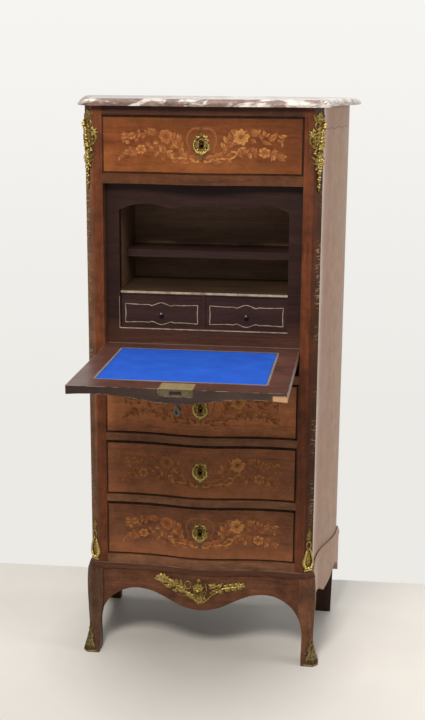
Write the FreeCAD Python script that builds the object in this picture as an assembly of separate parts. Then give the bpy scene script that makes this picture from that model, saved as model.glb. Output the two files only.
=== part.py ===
import FreeCAD, Part
import math
import os

# Fall-front writing cabinet on a low stand, shown with its fall open.
# Millimetres: X to the right, Y to the back, Z up, feet on Z = 0.
# It is drawn with Y = 0 at the front of the corner posts, and moved at the end so that
# the origin lies on the floor under the middle of the opened cabinet.

# Heights of what lies above each other, from the floor up
stand_height = 221.0
base_board_thickness = 14.0
bottom_rail_height = 22.0
lower_drawer_opening = 137.0
drawer_rail_height = 18.0
fall_rail_height = 18.0
fall_opening = 438.0
upper_rail_height = 23.0
top_drawer_opening = 131.0
frieze_rail_height = 20.0
marble_thickness = 16.0

# Case in plan: serpentine front between two posts, canted corners, sides that splay in an ogee
opening_half_width = 229.0
post_strip_width = 22.0
cant_width = 20.0
cant_depth = 16.0
case_depth = 325.0
side_splay = 49.0
side_straight = 54.0
front_bulge = 12.0
front_hollow = 3.0
hollow_radius_share = 2.62

# Boards of the case
post_depth = 48.0
side_thickness = 16.0
back_thickness = 12.0
rail_depth = 28.0
dust_board_thickness = 10.0
carcass_top_thickness = 16.0
guide_height = 20.0

# Marble slab
marble_front_overhang = 18.0
marble_side_overhang = 14.0
marble_back_overhang = 5.0
marble_flare = 14.0
marble_lip_height = 6.0
marble_lip_step = 3.0
marble_rounding_width = 15.0
marble_rounding_steps = 6

# Large drawers
drawer_recess = 3.0
drawer_front_gap = 1.0
drawer_side_gap = 0.8
drawer_float = 0.3
drawer_front_back = 22.0
drawer_side_thickness = 10.0
drawer_back_thickness = 8.0
drawer_bottom_thickness = 6.0
drawer_bottom_rise = 8.0
drawer_side_drop = 12.0
drawer_back_space = 28.0

# Keyholes, escutcheons and drawer locks
keyhole_radius = 3.2
keyhole_slot_width = 3.6
keyhole_slot_length = 10.0
escutcheon_width = 44.0
escutcheon_height = 65.0
escutcheon_thickness = 3.0
escutcheon_eye_radius = 5.0
drawer_lock_width = 52.0
drawer_lock_height = 40.0
drawer_lock_thickness = 11.0
escutcheon_outline_shares = [
    (0.0, -0.5),
    (0.22, -0.27),
    (0.4, -0.2),
    (0.5, 0.02),
    (0.4, 0.26),
    (0.24, 0.34),
    (0.1, 0.5),
]

# Fall, its pivots and its writing panel
fall_thickness = 19.0
fall_gap = 1.0
tail_length = 48.0
pivot_setback = 7.0
tail_gap = 0.8
stop_gap = 0.2
pivot_radius = 3.5
pivot_running_gap = 0.05
pivot_reach = 11.0
pivot_hold = 14.0
socket_radius = 6.0
socket_depth = 14.0
panel_side_margin = 48.0
panel_front_margin = 63.0
panel_back_margin = 36.0
panel_thickness = 1.5

# Fall lock, bolt and key
lock_width = 70.0
lock_height = 50.0
lock_thickness = 14.0
lock_edge_thickness = 2.5
lock_edge_depth = 15.0
lock_wall = 3.0
key_depth_in_lock = 30.5
key_pocket_radius = 10.0
key_pocket_depth = 9.0
key_shank_radius = 2.5
key_running_gap = 0.05
key_tip_length = 3.0
key_bit_length = 8.5
key_bit_width = 3.0
key_bit_height = 6.0
key_stand_out = 14.0
key_bow_radius = 11.0
key_bow_hole_radius = 6.5
key_bow_thickness = 4.0
key_bow_turn = 40.0
bolt_width = 24.0
bolt_thickness = 6.4
bolt_length = 18.0
bolt_throw = 8.0
bolt_gap = 0.3
bolt_mortise_gap = 2.0

# Fitted interior
frame_thickness = 22.0
frame_stile_width = 32.0
frame_rail_height = 36.8
valance_height = 76.0
valance_hump_rise = 15.0
valance_dip_share = 0.3
valance_centre_share = 0.8
valance_cusp_x_share = 0.4
valance_hump_x_share = 0.76
interior_back_space = 93.0
interior_wall = 12.0
interior_back_thickness = 8.0
interior_floor_thickness = 10.0
small_drawer_opening = 79.0
divider_thickness = 8.0
drawer_shelf_thickness = 12.0
drawer_shelf_setback = 10.0
pigeonhole_height = 66.0
shelf_thickness = 18.0
shelf_setback = 82.0

# Small drawers
small_front_setback = 12.5
small_front_thickness = 10.0
small_gap = 0.6
small_side_thickness = 5.0
small_side_drop = 8.0
small_bottom_rise = 3.0
small_back_space = 14.5
knob_radius = 5.5
knob_stem_radius = 2.5
knob_stand_out = 11.5
knob_drop = 6.5

# Stand
base_overhang = 4.0
base_side_flare = 9.0
apron_thickness = 20.0
apron_depth = 89.0
apron_arch_rise = 37.0
apron_bracket_drop = 40.0
apron_reach_into_leg = 21.0
side_apron_thickness = 16.0
side_apron_overhang = 7.0
side_apron_depth = 109.0
side_apron_rise = 46.0
back_rail_thickness = 20.0
back_rail_drop = 50.0
leg_top_width = 40.0
leg_cant_share = 0.55
back_leg_width = 57.0
back_leg_depth = 30.0
back_leg_inset = 2.0
back_leg_side_inset = 5.0
back_leg_block = 66.0
back_leg_taper = 4.0
sabot_wall = 2.5
sabot_height = 72.0
# Lower edge of the front apron from the pendant to the leg: shares of its half width and of its rise
apron_edge_shares = [
    (0.0, -0.14),
    (0.2, 0.1),
    (0.4, 0.7),
    (0.6, 1.03),
    (0.7, 0.98),
    (0.8, 0.73),
    (0.87, 0.42),
    (0.92, 0.06),
    (0.96, -0.4),
    (1.0, -0.97),
]
# Lower edge of a side apron from the front leg to the back: shares of its run and of its rise
side_apron_edge_shares = [
    (0.0, 0.74),
    (0.2, 0.67),
    (0.33, 0.64),
    (0.41, 0.56),
    (0.46, 0.33),
    (0.515, 0.13),
    (0.56, 0.19),
    (0.61, 0.35),
    (0.68, 0.61),
    (0.73, 0.89),
    (0.785, 1.0),
    (0.84, 0.93),
    (0.91, 0.61),
    (0.957, 0.26),
    (1.0, 0.0),
]
# Sections of a front leg: share of the stand's height, then half width and outward push,
# both as shares of the width at the top
leg_section_shares = [
    (0.0, 0.51, 0.4),
    (0.055, 0.48, 0.35),
    (0.18, 0.39, 0.26),
    (0.385, 0.3625, 0.225),
    (0.585, 0.49, 0.15),
    (0.78, 0.52, 0.145),
    (1.0, 0.5, 0.1),
]

# Bronze mounts
mount_thickness = 8.0
upper_mount_width = 40.0
upper_mount_height = 180.0
upper_mount_drop = 8.0
lower_mount_width = 38.0
lower_mount_height = 115.0
lower_mount_rise = 1.0
apron_mount_width = 228.0
apron_mount_height = 75.0
apron_mount_drop = 9.0
apron_mount_thickness = 5.0
# Outlines of the mounts: half the points, from bottom to top, as shares of full width and height
upper_mount_outline_shares = [
    (0.07, 0.0),
    (0.1, 0.2),
    (0.2, 0.42),
    (0.42, 0.6),
    (0.5, 0.76),
    (0.4, 0.92),
    (0.22, 1.0),
]
lower_mount_outline_shares = [
    (0.4, 0.0),
    (0.5, 0.14),
    (0.44, 0.34),
    (0.24, 0.5),
    (0.16, 0.72),
    (0.06, 1.0),
]
apron_mount_outline_shares = [
    (0.0, 0.0),
    (0.06, 0.16),
    (0.13, 0.3),
    (0.25, 0.44),
    (0.4, 0.62),
    (0.5, 0.8),
    (0.4, 0.93),
    (0.25, 0.88),
    (0.12, 0.9),
    (0.05, 0.98),
    (0.0, 1.0),
]

# One overrun for every cut
cut_overrun = 20.0

# Heights worked out from the stack
case_bottom = stand_height + base_board_thickness
drawer_4_low = case_bottom + bottom_rail_height
drawer_3_low = drawer_4_low + lower_drawer_opening + drawer_rail_height
drawer_2_low = drawer_3_low + lower_drawer_opening + drawer_rail_height
fall_rail_low = drawer_2_low + lower_drawer_opening
fall_low = fall_rail_low + fall_rail_height
fall_high = fall_low + fall_opening
drawer_1_low = fall_high + upper_rail_height
frieze_low = drawer_1_low + top_drawer_opening
case_top = frieze_low + frieze_rail_height
drawer_openings = {
    1: (drawer_1_low, top_drawer_opening),
    2: (drawer_2_low, lower_drawer_opening),
    3: (drawer_3_low, lower_drawer_opening),
    4: (drawer_4_low, lower_drawer_opening),
}

# Plan values worked out from the case
post_half = opening_half_width + post_strip_width
cant_half = post_half + cant_width
back_half = cant_half + side_splay
wave_start_y = cant_depth + side_straight
side_run = case_depth - wave_start_y
side_length = math.hypot(side_splay, side_run)
back_face = case_depth - back_thickness
far_x = back_half + marble_side_overhang + marble_flare + cut_overrun
back_leg_outer_x = back_half - back_leg_side_inset
back_leg_inner_x = back_leg_outer_x - back_leg_width
back_leg_high_y = case_depth - back_leg_inset
back_leg_low_y = back_leg_high_y - back_leg_depth
apron_low = stand_height - apron_depth
side_apron_low = stand_height - side_apron_depth

# Serpentine: a bulge arc in the middle, tangent to a hollow arc on each side
hollow_radius = opening_half_width * hollow_radius_share
hollow_x = opening_half_width - math.sqrt(hollow_radius**2 - (hollow_radius - front_hollow) ** 2)
swell = front_bulge + front_hollow
centre_span = (hollow_x**2 + swell**2) / (2 * swell)
bulge_centre_y = centre_span - hollow_radius - front_bulge
hollow_centre_y = front_hollow - hollow_radius

# Fall pivot and the fall's faces, drawn closed
pivot_y = pivot_setback
pivot_z = fall_low + tail_length + fall_gap
fall_half = opening_half_width - fall_gap
fall_top = fall_high - fall_gap
fall_surface = pivot_z + fall_thickness - pivot_y
fall_reach = fall_top - pivot_z - pivot_y
key_z = fall_top - key_depth_in_lock
lock_low = fall_top - lock_height
panel_half_width = fall_half - panel_side_margin
lock_face = fall_thickness - lock_thickness
bolt_y = lock_face + lock_wall

# Fitted interior
frame_front = rail_depth
frame_back = frame_front + frame_thickness
interior_half = opening_half_width - frame_stile_width
interior_back_y = back_face - interior_back_space
interior_low = fall_surface + stop_gap
interior_floor_top = interior_low + frame_rail_height
ceiling = drawer_1_low - dust_board_thickness
drawer_shelf_low = interior_floor_top + small_drawer_opening
drawer_shelf_top = drawer_shelf_low + drawer_shelf_thickness
shelf_low = drawer_shelf_top + pigeonhole_height
small_front_y = frame_front + small_front_setback
small_box_y = small_front_y + small_front_thickness

# The finished part is moved so that its footprint, fall and marble included, is centred on the origin
origin_shift = (fall_reach - case_depth - marble_back_overhang) / 2


def vector(x, y, z):
    return FreeCAD.Vector(x, y, z)


def block(x_span, y_span, z_span):
    """Box between two values on each axis."""
    corner = vector(x_span[0], y_span[0], z_span[0])
    return Part.makeBox(x_span[1] - x_span[0], y_span[1] - y_span[0], z_span[1] - z_span[0], corner)


def even(half):
    """Span from minus half to plus half."""
    return (-half, half)


def mirrored(shape):
    """The same piece on the other side of the cabinet."""
    return shape.mirror(vector(0, 0, 0), vector(1, 0, 0))


def pair(shape):
    """A right-hand piece with its left-hand twin."""
    return Part.makeCompound([shape, mirrored(shape)])


def drawn_up(points, z_low, z_high):
    """Plan polygon drawn up between two heights."""
    loop = [vector(x, y, z_low) for x, y in points]
    face = Part.Face(Part.makePolygon(loop + loop[:1]))
    return face.extrude(vector(0, 0, z_high - z_low))


def both_sides(points):
    """Right-hand points of a plan outline, completed by their mirror images."""
    return points + [(-x, y) for x, y in reversed(points)]


def rod(start, direction, radius, length):
    """Round bar from a point along a direction."""
    return Part.makeCylinder(radius, length, start, direction)


def front_line(push, half_width, z):
    """Arcs of the serpentine front, pushed forward by a distance, from left to right."""
    radius = hollow_radius - push
    turn_share = radius / centre_span
    turn_x = hollow_x * (1 - turn_share)
    turn_y = hollow_centre_y + (bulge_centre_y - hollow_centre_y) * turn_share
    middle_x = (turn_x + half_width) / 2
    middle_y = hollow_centre_y + math.sqrt(radius**2 - (middle_x - hollow_x) ** 2)
    end_y = hollow_centre_y + math.sqrt(radius**2 - (half_width - hollow_x) ** 2)
    half = [(turn_x, turn_y), (middle_x, middle_y), (half_width, end_y)]
    right = [vector(x, y, z) for x, y in half]
    left = [vector(-x, y, z) for x, y in half]
    crown = vector(0, -front_bulge - push, z)
    return [
        Part.Arc(left[2], left[1], left[0]).toShape(),
        Part.Arc(left[0], crown, right[0]).toShape(),
        Part.Arc(right[0], right[1], right[2]).toShape(),
    ]


def front_block(push, half_width, back_y, z_span):
    """Solid behind the serpentine front, back to a flat plane."""
    arcs = front_line(push, half_width, z_span[0])
    start = arcs[0].firstVertex().Point
    end = arcs[-1].lastVertex().Point
    corners = [end, vector(half_width, back_y, z_span[0]), vector(-half_width, back_y, z_span[0]), start]
    sides = [Part.makeLine(a, b) for a, b in zip(corners, corners[1:])]
    face = Part.Face(Part.Wire(arcs + sides))
    return face.extrude(vector(0, 0, z_span[1] - z_span[0]))


def front_skin(push, thickness, z_span):
    """Sheet of even thickness lying on the serpentine front."""
    outer = front_block(push + thickness, opening_half_width, post_strip_width, z_span)
    z_past = (z_span[0] - cut_overrun, z_span[1] + cut_overrun)
    past_half = opening_half_width + cut_overrun
    return outer.cut(front_block(push, past_half, post_strip_width + cut_overrun, z_past))


def meet(p, along_p, q, along_q):
    """Point where two lines in plan cross."""
    gap = q - p
    cross = along_p.x * along_q.y - along_p.y * along_q.x
    return p + along_p * ((gap.x * along_q.y - gap.y * along_q.x) / cross)


def plan_corners(front_over, side_over, back_over, flare):
    """Right-hand corners of the case outline, grown by its overhangs and flared to the back."""
    strip = vector(1, 0, 0)
    cant = vector(cant_width, cant_depth, 0)
    cant_out = vector(cant_depth, -cant_width, 0).normalize()
    strip_at = vector(0, -front_over, 0)
    cant_at = vector(post_half, 0, 0) + cant_out * ((front_over + side_over) / 2)
    wave_start = vector(cant_half + side_over, wave_start_y, 0)
    strip_end = meet(strip_at, strip, cant_at, cant)
    cant_end = meet(cant_at, cant, wave_start, vector(0, 1, 0))
    back_end = vector(back_half + side_over + flare, case_depth + back_over, 0)
    return strip_end, cant_end, wave_start, back_end


def ogee(start, end):
    """Points of two equal arcs, hollow then swelling, that leave start and reach end straight back."""
    middle = (start + end) / 2
    lean = math.atan2(end.x - start.x, end.y - start.y)
    rise = (middle - start).Length / 2 * math.tan(lean / 2)
    across = vector(math.cos(lean), -math.sin(lean), 0)
    hollow = (start + middle) / 2 - across * rise
    swelling = (middle + end) / 2 + across * rise
    return [start, hollow, middle, swelling, end]


def side_edges(points):
    """Cant, straight stretch and ogee of one side, from front to back."""
    strip_end, cant_end, start, hollow, middle, swelling, end = points
    return [
        Part.makeLine(strip_end, cant_end),
        Part.makeLine(cant_end, start),
        Part.Arc(start, hollow, middle).toShape(),
        Part.Arc(middle, swelling, end).toShape(),
    ]


def plan_wire(front_over, side_over, back_over, flare, z):
    """The case outline, with overhangs, at a height."""
    strip_end, cant_end, wave_start, back_end = plan_corners(front_over, side_over, back_over, flare)
    right = [point + vector(0, 0, z) for point in [strip_end, cant_end] + ogee(wave_start, back_end)]
    left = [vector(-point.x, point.y, point.z) for point in right]
    arcs = front_line(front_over, opening_half_width, z)
    edges = arcs + [Part.makeLine(arcs[-1].lastVertex().Point, right[0])]
    edges += side_edges(right) + [Part.makeLine(right[-1], left[-1])] + side_edges(left)[::-1]
    edges += [Part.makeLine(left[0], arcs[0].firstVertex().Point)]
    return Part.Wire(edges)


def plan_block(front_over, side_over, back_over, z_span):
    """The case outline, with overhangs, drawn up between two heights."""
    wire = plan_wire(front_over, side_over, back_over, 0, z_span[0])
    return Part.Face(wire).extrude(vector(0, 0, z_span[1] - z_span[0]))


def side_chord_x(y):
    """Straight line through the ends of a side's ogee, at a depth."""
    return cant_half + side_splay * (y - wave_start_y) / side_run


def inner_side_x(y):
    """Inside face of a side panel, which is straight, at a depth."""
    return side_chord_x(y) - side_thickness * side_length / side_run


def closed_curve(points):
    """Face inside a smooth closed curve through points."""
    curve = Part.BSplineCurve()
    curve.interpolate(Points=points, PeriodicFlag=True)
    return Part.Face(Part.Wire(curve.toShape()))


def symmetric_outline(half_shares, width, height):
    """Points round an outline, from its right-hand half as shares of width and height."""
    right = [(x * width, z * height) for x, z in half_shares]
    return right + [(-x, z) for x, z in reversed(right) if x > 0]


def marble_outline(inset, z):
    """Outline of the slab at a height, drawn in by an inset at the front and sides."""
    front_over = marble_front_overhang - inset
    side_over = marble_side_overhang - inset
    return plan_wire(front_over, side_over, marble_back_overhang, marble_flare, z)


def marble_top():
    """Slab with a lip along its lower edge and a long quarter round above it."""
    rounding_height = marble_thickness - marble_lip_height
    lip_top = case_top + marble_lip_height
    lip = Part.Face(marble_outline(0, case_top)).extrude(vector(0, 0, marble_lip_height))
    wires = []
    for step in range(marble_rounding_steps + 1):
        turn = math.radians(90) * step / marble_rounding_steps
        inset = marble_lip_step + marble_rounding_width * (1 - math.cos(turn))
        wires.append(marble_outline(inset, lip_top + rounding_height * math.sin(turn)))
    return lip.fuse(Part.makeLoft(wires, True, True)).removeSplitter()


def corner_post():
    whole = plan_block(0, 0, 0, (case_bottom, case_top))
    keep = block((opening_half_width, far_x), (-cut_overrun, post_depth), (case_bottom, case_top))
    socket_start = vector(opening_half_width, pivot_y, pivot_z)
    socket_hole = rod(socket_start, vector(1, 0, 0), socket_radius, socket_depth)
    return whole.common(keep).cut(socket_hole)


def side_panel():
    whole = plan_block(0, 0, 0, (case_bottom, case_top))
    outline = [
        (inner_side_x(post_depth), post_depth),
        (far_x, post_depth),
        (far_x, case_depth),
        (inner_side_x(case_depth), case_depth),
    ]
    return whole.common(drawn_up(outline, case_bottom, case_top))


def back_panel():
    outline = [(inner_side_x(back_face), back_face), (inner_side_x(case_depth), case_depth)]
    return drawn_up(both_sides(outline), case_bottom, case_top)


def inner_board(z_low, z_high):
    """Board that fills the case between rails, posts, sides and back."""
    outline = [
        (opening_half_width, rail_depth),
        (opening_half_width, post_depth),
        (inner_side_x(post_depth), post_depth),
        (inner_side_x(back_face), back_face),
    ]
    return drawn_up(both_sides(outline), z_low, z_high)


def carcass_top():
    return inner_board(case_top - carcass_top_thickness, case_top)


def dust_boards():
    boards = [inner_board(low - dust_board_thickness, low) for low, height in drawer_openings.values()]
    boards.append(inner_board(fall_rail_low, fall_rail_low + dust_board_thickness))
    return Part.makeCompound(boards)


def drawer_guides():
    outline = [
        (opening_half_width, post_depth),
        (inner_side_x(post_depth), post_depth),
        (inner_side_x(back_face), back_face),
        (opening_half_width, back_face),
    ]
    guides = []
    for low, height in drawer_openings.values():
        guide = drawn_up(outline, low, low + guide_height)
        guides += [guide, mirrored(guide)]
    return Part.makeCompound(guides)


def bolt_mortise():
    """Pocket in the upper rail that takes the fall's bolt."""
    y_span = (bolt_y - bolt_mortise_gap, bolt_y + bolt_thickness + bolt_mortise_gap)
    z_span = (fall_high - cut_overrun, fall_high + bolt_throw + bolt_mortise_gap)
    return block(even(bolt_width / 2 + bolt_mortise_gap), y_span, z_span)


def cross_rails():
    spans = [
        (frieze_low, case_top),
        (drawer_2_low - drawer_rail_height, drawer_2_low),
        (drawer_3_low - drawer_rail_height, drawer_3_low),
        (case_bottom, drawer_4_low),
    ]
    rails = [front_block(0, opening_half_width, rail_depth, span) for span in spans]
    upper = front_block(0, opening_half_width, rail_depth, (fall_high, drawer_1_low))
    rails.append(upper.cut(bolt_mortise()))
    return Part.makeCompound(rails)


def fall_rail():
    """Rail hollowed so that the fall's rounded tail turns in it."""
    rail = front_block(0, opening_half_width, rail_depth, (fall_rail_low, pivot_z))
    axis_start = vector(-far_x, pivot_y, pivot_z)
    return rail.cut(rod(axis_start, vector(1, 0, 0), tail_length + tail_gap, 2 * far_x))


def pivot_sockets():
    start = vector(opening_half_width, pivot_y, pivot_z)
    bush = rod(start, vector(1, 0, 0), socket_radius, socket_depth)
    bore = rod(start, vector(1, 0, 0), pivot_radius + pivot_running_gap, pivot_reach + fall_gap)
    return pair(bush.cut(bore))


def interior_sides():
    wall = block(
        (interior_half, interior_half + interior_wall),
        (frame_back, interior_back_y),
        (interior_floor_top, ceiling),
    )
    return pair(wall)


def interior_floor():
    z_span = (interior_floor_top - interior_floor_thickness, interior_floor_top)
    return block(even(interior_half + interior_wall), (frame_back, interior_back_y), z_span)


def interior_back():
    y_span = (interior_back_y, interior_back_y + interior_back_thickness)
    z_span = (interior_floor_top - interior_floor_thickness, ceiling)
    return block(even(interior_half + interior_wall), y_span, z_span)


def valance():
    """Top of the inner frame, with three arched humps along its lower edge."""
    low = ceiling - valance_height
    cusp_x = interior_half * valance_cusp_x_share
    hump_x = interior_half * valance_hump_x_share
    dip_z = low + valance_hump_rise * valance_dip_share
    centre_z = low + valance_hump_rise * valance_centre_share
    y = frame_front
    left_end = vector(-interior_half, y, low)
    left_hump = vector(-hump_x, y, low + valance_hump_rise)
    left_cusp = vector(-cusp_x, y, dip_z)
    centre = vector(0, y, centre_z)
    right_cusp = vector(cusp_x, y, dip_z)
    right_hump = vector(hump_x, y, low + valance_hump_rise)
    right_end = vector(interior_half, y, low)
    top = [right_end, vector(interior_half, y, ceiling), vector(-interior_half, y, ceiling), left_end]
    edges = [
        Part.Arc(left_end, left_hump, left_cusp).toShape(),
        Part.Arc(left_cusp, centre, right_cusp).toShape(),
        Part.Arc(right_cusp, right_hump, right_end).toShape(),
    ]
    edges += [Part.makeLine(a, b) for a, b in zip(top, top[1:])]
    return Part.Face(Part.Wire(edges)).extrude(vector(0, frame_thickness, 0))


def interior_frame():
    y_span = (frame_front, frame_back)
    stile = block((interior_half, opening_half_width), y_span, (interior_low, ceiling))
    rail = block(even(interior_half), y_span, (interior_low, interior_floor_top))
    return Part.makeCompound([stile, mirrored(stile), rail, valance()])


def interior_shelf():
    y_span = (frame_front + shelf_setback, interior_back_y)
    return block(even(interior_half), y_span, (shelf_low, shelf_low + shelf_thickness))


def drawer_shelf():
    y_span = (frame_front + drawer_shelf_setback, interior_back_y)
    return block(even(interior_half), y_span, (drawer_shelf_low, drawer_shelf_top))


def drawer_divider():
    y_span = (frame_front + drawer_shelf_setback, interior_back_y)
    return block(even(divider_thickness / 2), y_span, (interior_floor_top, drawer_shelf_low))


def keyhole(centre_z, radius, slot_width, slot_length):
    """Round eye with a slot under it, cut right through the front."""
    start_y = -front_bulge - cut_overrun
    length = drawer_front_back - start_y
    eye = rod(vector(0, start_y, centre_z), vector(0, 1, 0), radius, length)
    slot = block(even(slot_width / 2), (start_y, start_y + length), (centre_z - slot_length, centre_z))
    return eye.fuse(slot)


def escutcheon(push, centre_z):
    """Shaped keyhole plate lying on a serpentine front."""
    outline = symmetric_outline(escutcheon_outline_shares, escutcheon_width, escutcheon_height)
    start_y = -front_bulge - cut_overrun
    face = closed_curve([vector(x, start_y, centre_z + z) for x, z in outline])
    prism = face.extrude(vector(0, -start_y + cut_overrun, 0))
    z_span = (centre_z - escutcheon_height, centre_z + escutcheon_height)
    plate = front_skin(push, escutcheon_thickness, z_span).common(prism)
    wider = escutcheon_eye_radius / keyhole_radius
    return plate.cut(
        keyhole(centre_z, escutcheon_eye_radius, keyhole_slot_width * wider, keyhole_slot_length * wider)
    )


def drawer_centre(number):
    low, height = drawer_openings[number]
    return low + height / 2


def drawer_front(number):
    low, height = drawer_openings[number]
    z_span = (low + drawer_front_gap, low + height - drawer_front_gap)
    half = opening_half_width - drawer_front_gap
    front = front_block(-drawer_recess, half, drawer_front_back, z_span)
    hole = keyhole(drawer_centre(number), keyhole_radius, keyhole_slot_width, keyhole_slot_length)
    return front.cut(hole)


def open_box(x_span, y_span, z_span, wall, back, bottom, rise):
    """Two sides, a back and a bottom, as separate boards behind a drawer front."""
    x_low, x_high = x_span
    y_low, y_high = y_span
    z_low, z_high = z_span
    inner = (x_low + wall, x_high - wall)
    left = block((x_low, x_low + wall), y_span, z_span)
    right = block((x_high - wall, x_high), y_span, z_span)
    rear = block(inner, (y_high - back, y_high), z_span)
    base = block(inner, (y_low, y_high - back), (z_low + rise, z_low + rise + bottom))
    return Part.makeCompound([left, right, rear, base])


def drawer_box(number):
    low, height = drawer_openings[number]
    return open_box(
        even(opening_half_width - drawer_side_gap),
        (drawer_front_back, back_face - drawer_back_space),
        (low + drawer_float, low + height - drawer_side_drop),
        drawer_side_thickness,
        drawer_back_thickness,
        drawer_bottom_thickness,
        drawer_bottom_rise,
    )


def drawer_lock(number):
    """Lock case screwed to the inside of a drawer front, with its keyhole."""
    middle = drawer_centre(number)
    y_span = (drawer_front_back, drawer_front_back + drawer_lock_thickness)
    z_span = (middle - drawer_lock_height / 2, middle + drawer_lock_height / 2)
    case = block(even(drawer_lock_width / 2), y_span, z_span)
    bore = rod(vector(0, drawer_front_back, middle), vector(0, 1, 0), keyhole_radius, drawer_lock_thickness)
    return case.cut(bore)


def opened(shape):
    """A piece of the fall, turned from closed to its open place."""
    return shape.rotated(vector(0, pivot_y, pivot_z), vector(1, 0, 0), 90)


def fall_lock_outline():
    """Lock body and edge plate, before its pockets are cut."""
    half = even(lock_width / 2)
    body = block(half, (lock_face, fall_thickness), (lock_low, fall_top))
    edge_y = (fall_thickness - lock_edge_depth, fall_thickness)
    edge = block(half, edge_y, (fall_top - lock_edge_thickness, fall_top))
    return body.fuse(edge).removeSplitter()


def writing_panel_closed():
    y_span = (fall_thickness - panel_thickness, fall_thickness)
    z_span = (pivot_z + panel_back_margin, fall_top - panel_front_margin)
    return block(even(panel_half_width), y_span, z_span)


def fall_board():
    board = front_block(0, fall_half, fall_thickness, (pivot_z - tail_length, fall_top))
    axis_start = vector(-far_x, pivot_y, pivot_z)
    round_end = rod(axis_start, vector(1, 0, 0), tail_length, 2 * far_x)
    below = block(even(far_x), (-far_x, far_x), (pivot_z - tail_length - cut_overrun, pivot_z))
    board = board.cut(below.cut(round_end))
    board = board.cut(writing_panel_closed()).cut(fall_lock_outline())
    board = board.cut(keyhole(key_z, keyhole_radius, keyhole_slot_width, keyhole_slot_length))
    return opened(board.cut(pivot_pin()).cut(mirrored(pivot_pin())))


def pivot_pin():
    start = vector(fall_half - pivot_hold, pivot_y, pivot_z)
    return rod(start, vector(1, 0, 0), pivot_radius, pivot_hold + fall_gap + pivot_reach)


def fall_pivots():
    return pair(pivot_pin())


def writing_panel():
    return opened(writing_panel_closed())


def fall_lock():
    """Lock with a pocket for the key's bit, a hole for its tip and a channel for the bolt."""
    key_axis = vector(0, 1, 0)
    pocket_back = lock_face + key_pocket_depth
    pocket = rod(vector(0, lock_face, key_z), key_axis, key_pocket_radius, key_pocket_depth)
    tip_radius = key_shank_radius + key_running_gap
    tip_hole = rod(vector(0, pocket_back, key_z), key_axis, tip_radius, key_tip_length)
    channel = block(
        even(bolt_width / 2 + bolt_gap),
        (bolt_y - bolt_gap, bolt_y + bolt_thickness + bolt_gap),
        (fall_top - bolt_length - bolt_gap, fall_top + cut_overrun),
    )
    return opened(fall_lock_outline().cut(pocket).cut(tip_hole).cut(channel))


def fall_bolt():
    y_span = (bolt_y, bolt_y + bolt_thickness)
    return opened(block(even(bolt_width / 2), y_span, (fall_top - bolt_length, fall_top)))


def fall_escutcheon():
    return opened(escutcheon(0, key_z))


def fall_key():
    """Key in the fall's lock: tip, shank, bit and a ring to hold."""
    axis = vector(0, 1, 0)
    face_y = -front_bulge - escutcheon_thickness
    shank_start = face_y - key_stand_out
    tip_end = lock_face + key_pocket_depth + key_tip_length
    shank = rod(vector(0, shank_start, key_z), axis, key_shank_radius, tip_end - shank_start)
    bit_y = lock_face + (key_pocket_depth - key_bit_height) / 2
    bit = block(even(key_bit_width / 2), (bit_y, bit_y + key_bit_height), (key_z - key_bit_length, key_z))
    bow_centre = vector(-key_bow_thickness / 2, shank_start - key_bow_hole_radius, key_z)
    ring = rod(bow_centre, vector(1, 0, 0), key_bow_radius, key_bow_thickness)
    ring = ring.cut(rod(bow_centre, vector(1, 0, 0), key_bow_hole_radius, key_bow_thickness))
    ring = ring.rotated(vector(0, 0, key_z), axis, key_bow_turn)
    return opened(shank.fuse([bit, ring]).removeSplitter())


def small_drawer_span():
    return (divider_thickness / 2 + small_gap, interior_half - small_gap)


def small_drawer_front():
    z_span = (interior_floor_top + small_gap, drawer_shelf_low - small_gap)
    return block(small_drawer_span(), (small_front_y, small_box_y), z_span)


def small_drawer_box():
    return open_box(
        small_drawer_span(),
        (small_box_y, interior_back_y - small_back_space),
        (interior_floor_top + drawer_float, drawer_shelf_low - small_side_drop),
        small_side_thickness,
        small_side_thickness,
        small_side_thickness,
        small_bottom_rise,
    )


def small_drawer_knob():
    """Turned knob: a round head on a stem."""
    x = sum(small_drawer_span()) / 2
    z = (interior_floor_top + drawer_shelf_low) / 2 - knob_drop
    outward = vector(0, -1, 0)
    start = vector(x, small_front_y, z)
    stem = rod(start, outward, knob_stem_radius, knob_stand_out - knob_radius)
    head = Part.makeSphere(knob_radius, start + outward * (knob_stand_out - knob_radius))
    return head.fuse(stem).removeSplitter()


def base_board():
    """Ledge on the stand, whose sides flare out downwards."""
    low = plan_wire(base_overhang, base_side_flare, 0, 0, stand_height)
    high = plan_wire(base_overhang, base_overhang, 0, 0, case_bottom)
    return Part.makeLoft([low, high], True, True)


def leg_loft(extra_width):
    """Right front leg as a smooth body through canted sections, grown by an extra width."""
    top_half = leg_top_width / 2
    centre_x = cant_half + base_overhang - top_half
    centre_y = top_half - base_overhang
    wires = []
    for height_share, half_share, push_share in leg_section_shares:
        half = half_share * leg_top_width + extra_width
        push = push_share * leg_top_width
        cut = leg_cant_share * half
        x = centre_x + push
        y = centre_y - push
        z = height_share * stand_height
        corners = [
            vector(x - half, y + half, z),
            vector(x - half, y - half, z),
            vector(x + half - cut, y - half, z),
            vector(x + half, y - half + cut, z),
            vector(x + half, y + half, z),
        ]
        wires.append(Part.makePolygon(corners + corners[:1]))
    return Part.makeLoft(wires, True, False)


def front_leg():
    return leg_loft(0)


def foot_sabots():
    """Bronze shoes round the feet of the front legs."""
    low = block(even(far_x + cut_overrun), (-far_x, case_depth), (0, sabot_height))
    return pair(leg_loft(sabot_wall).common(low).cut(front_leg()))


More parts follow.
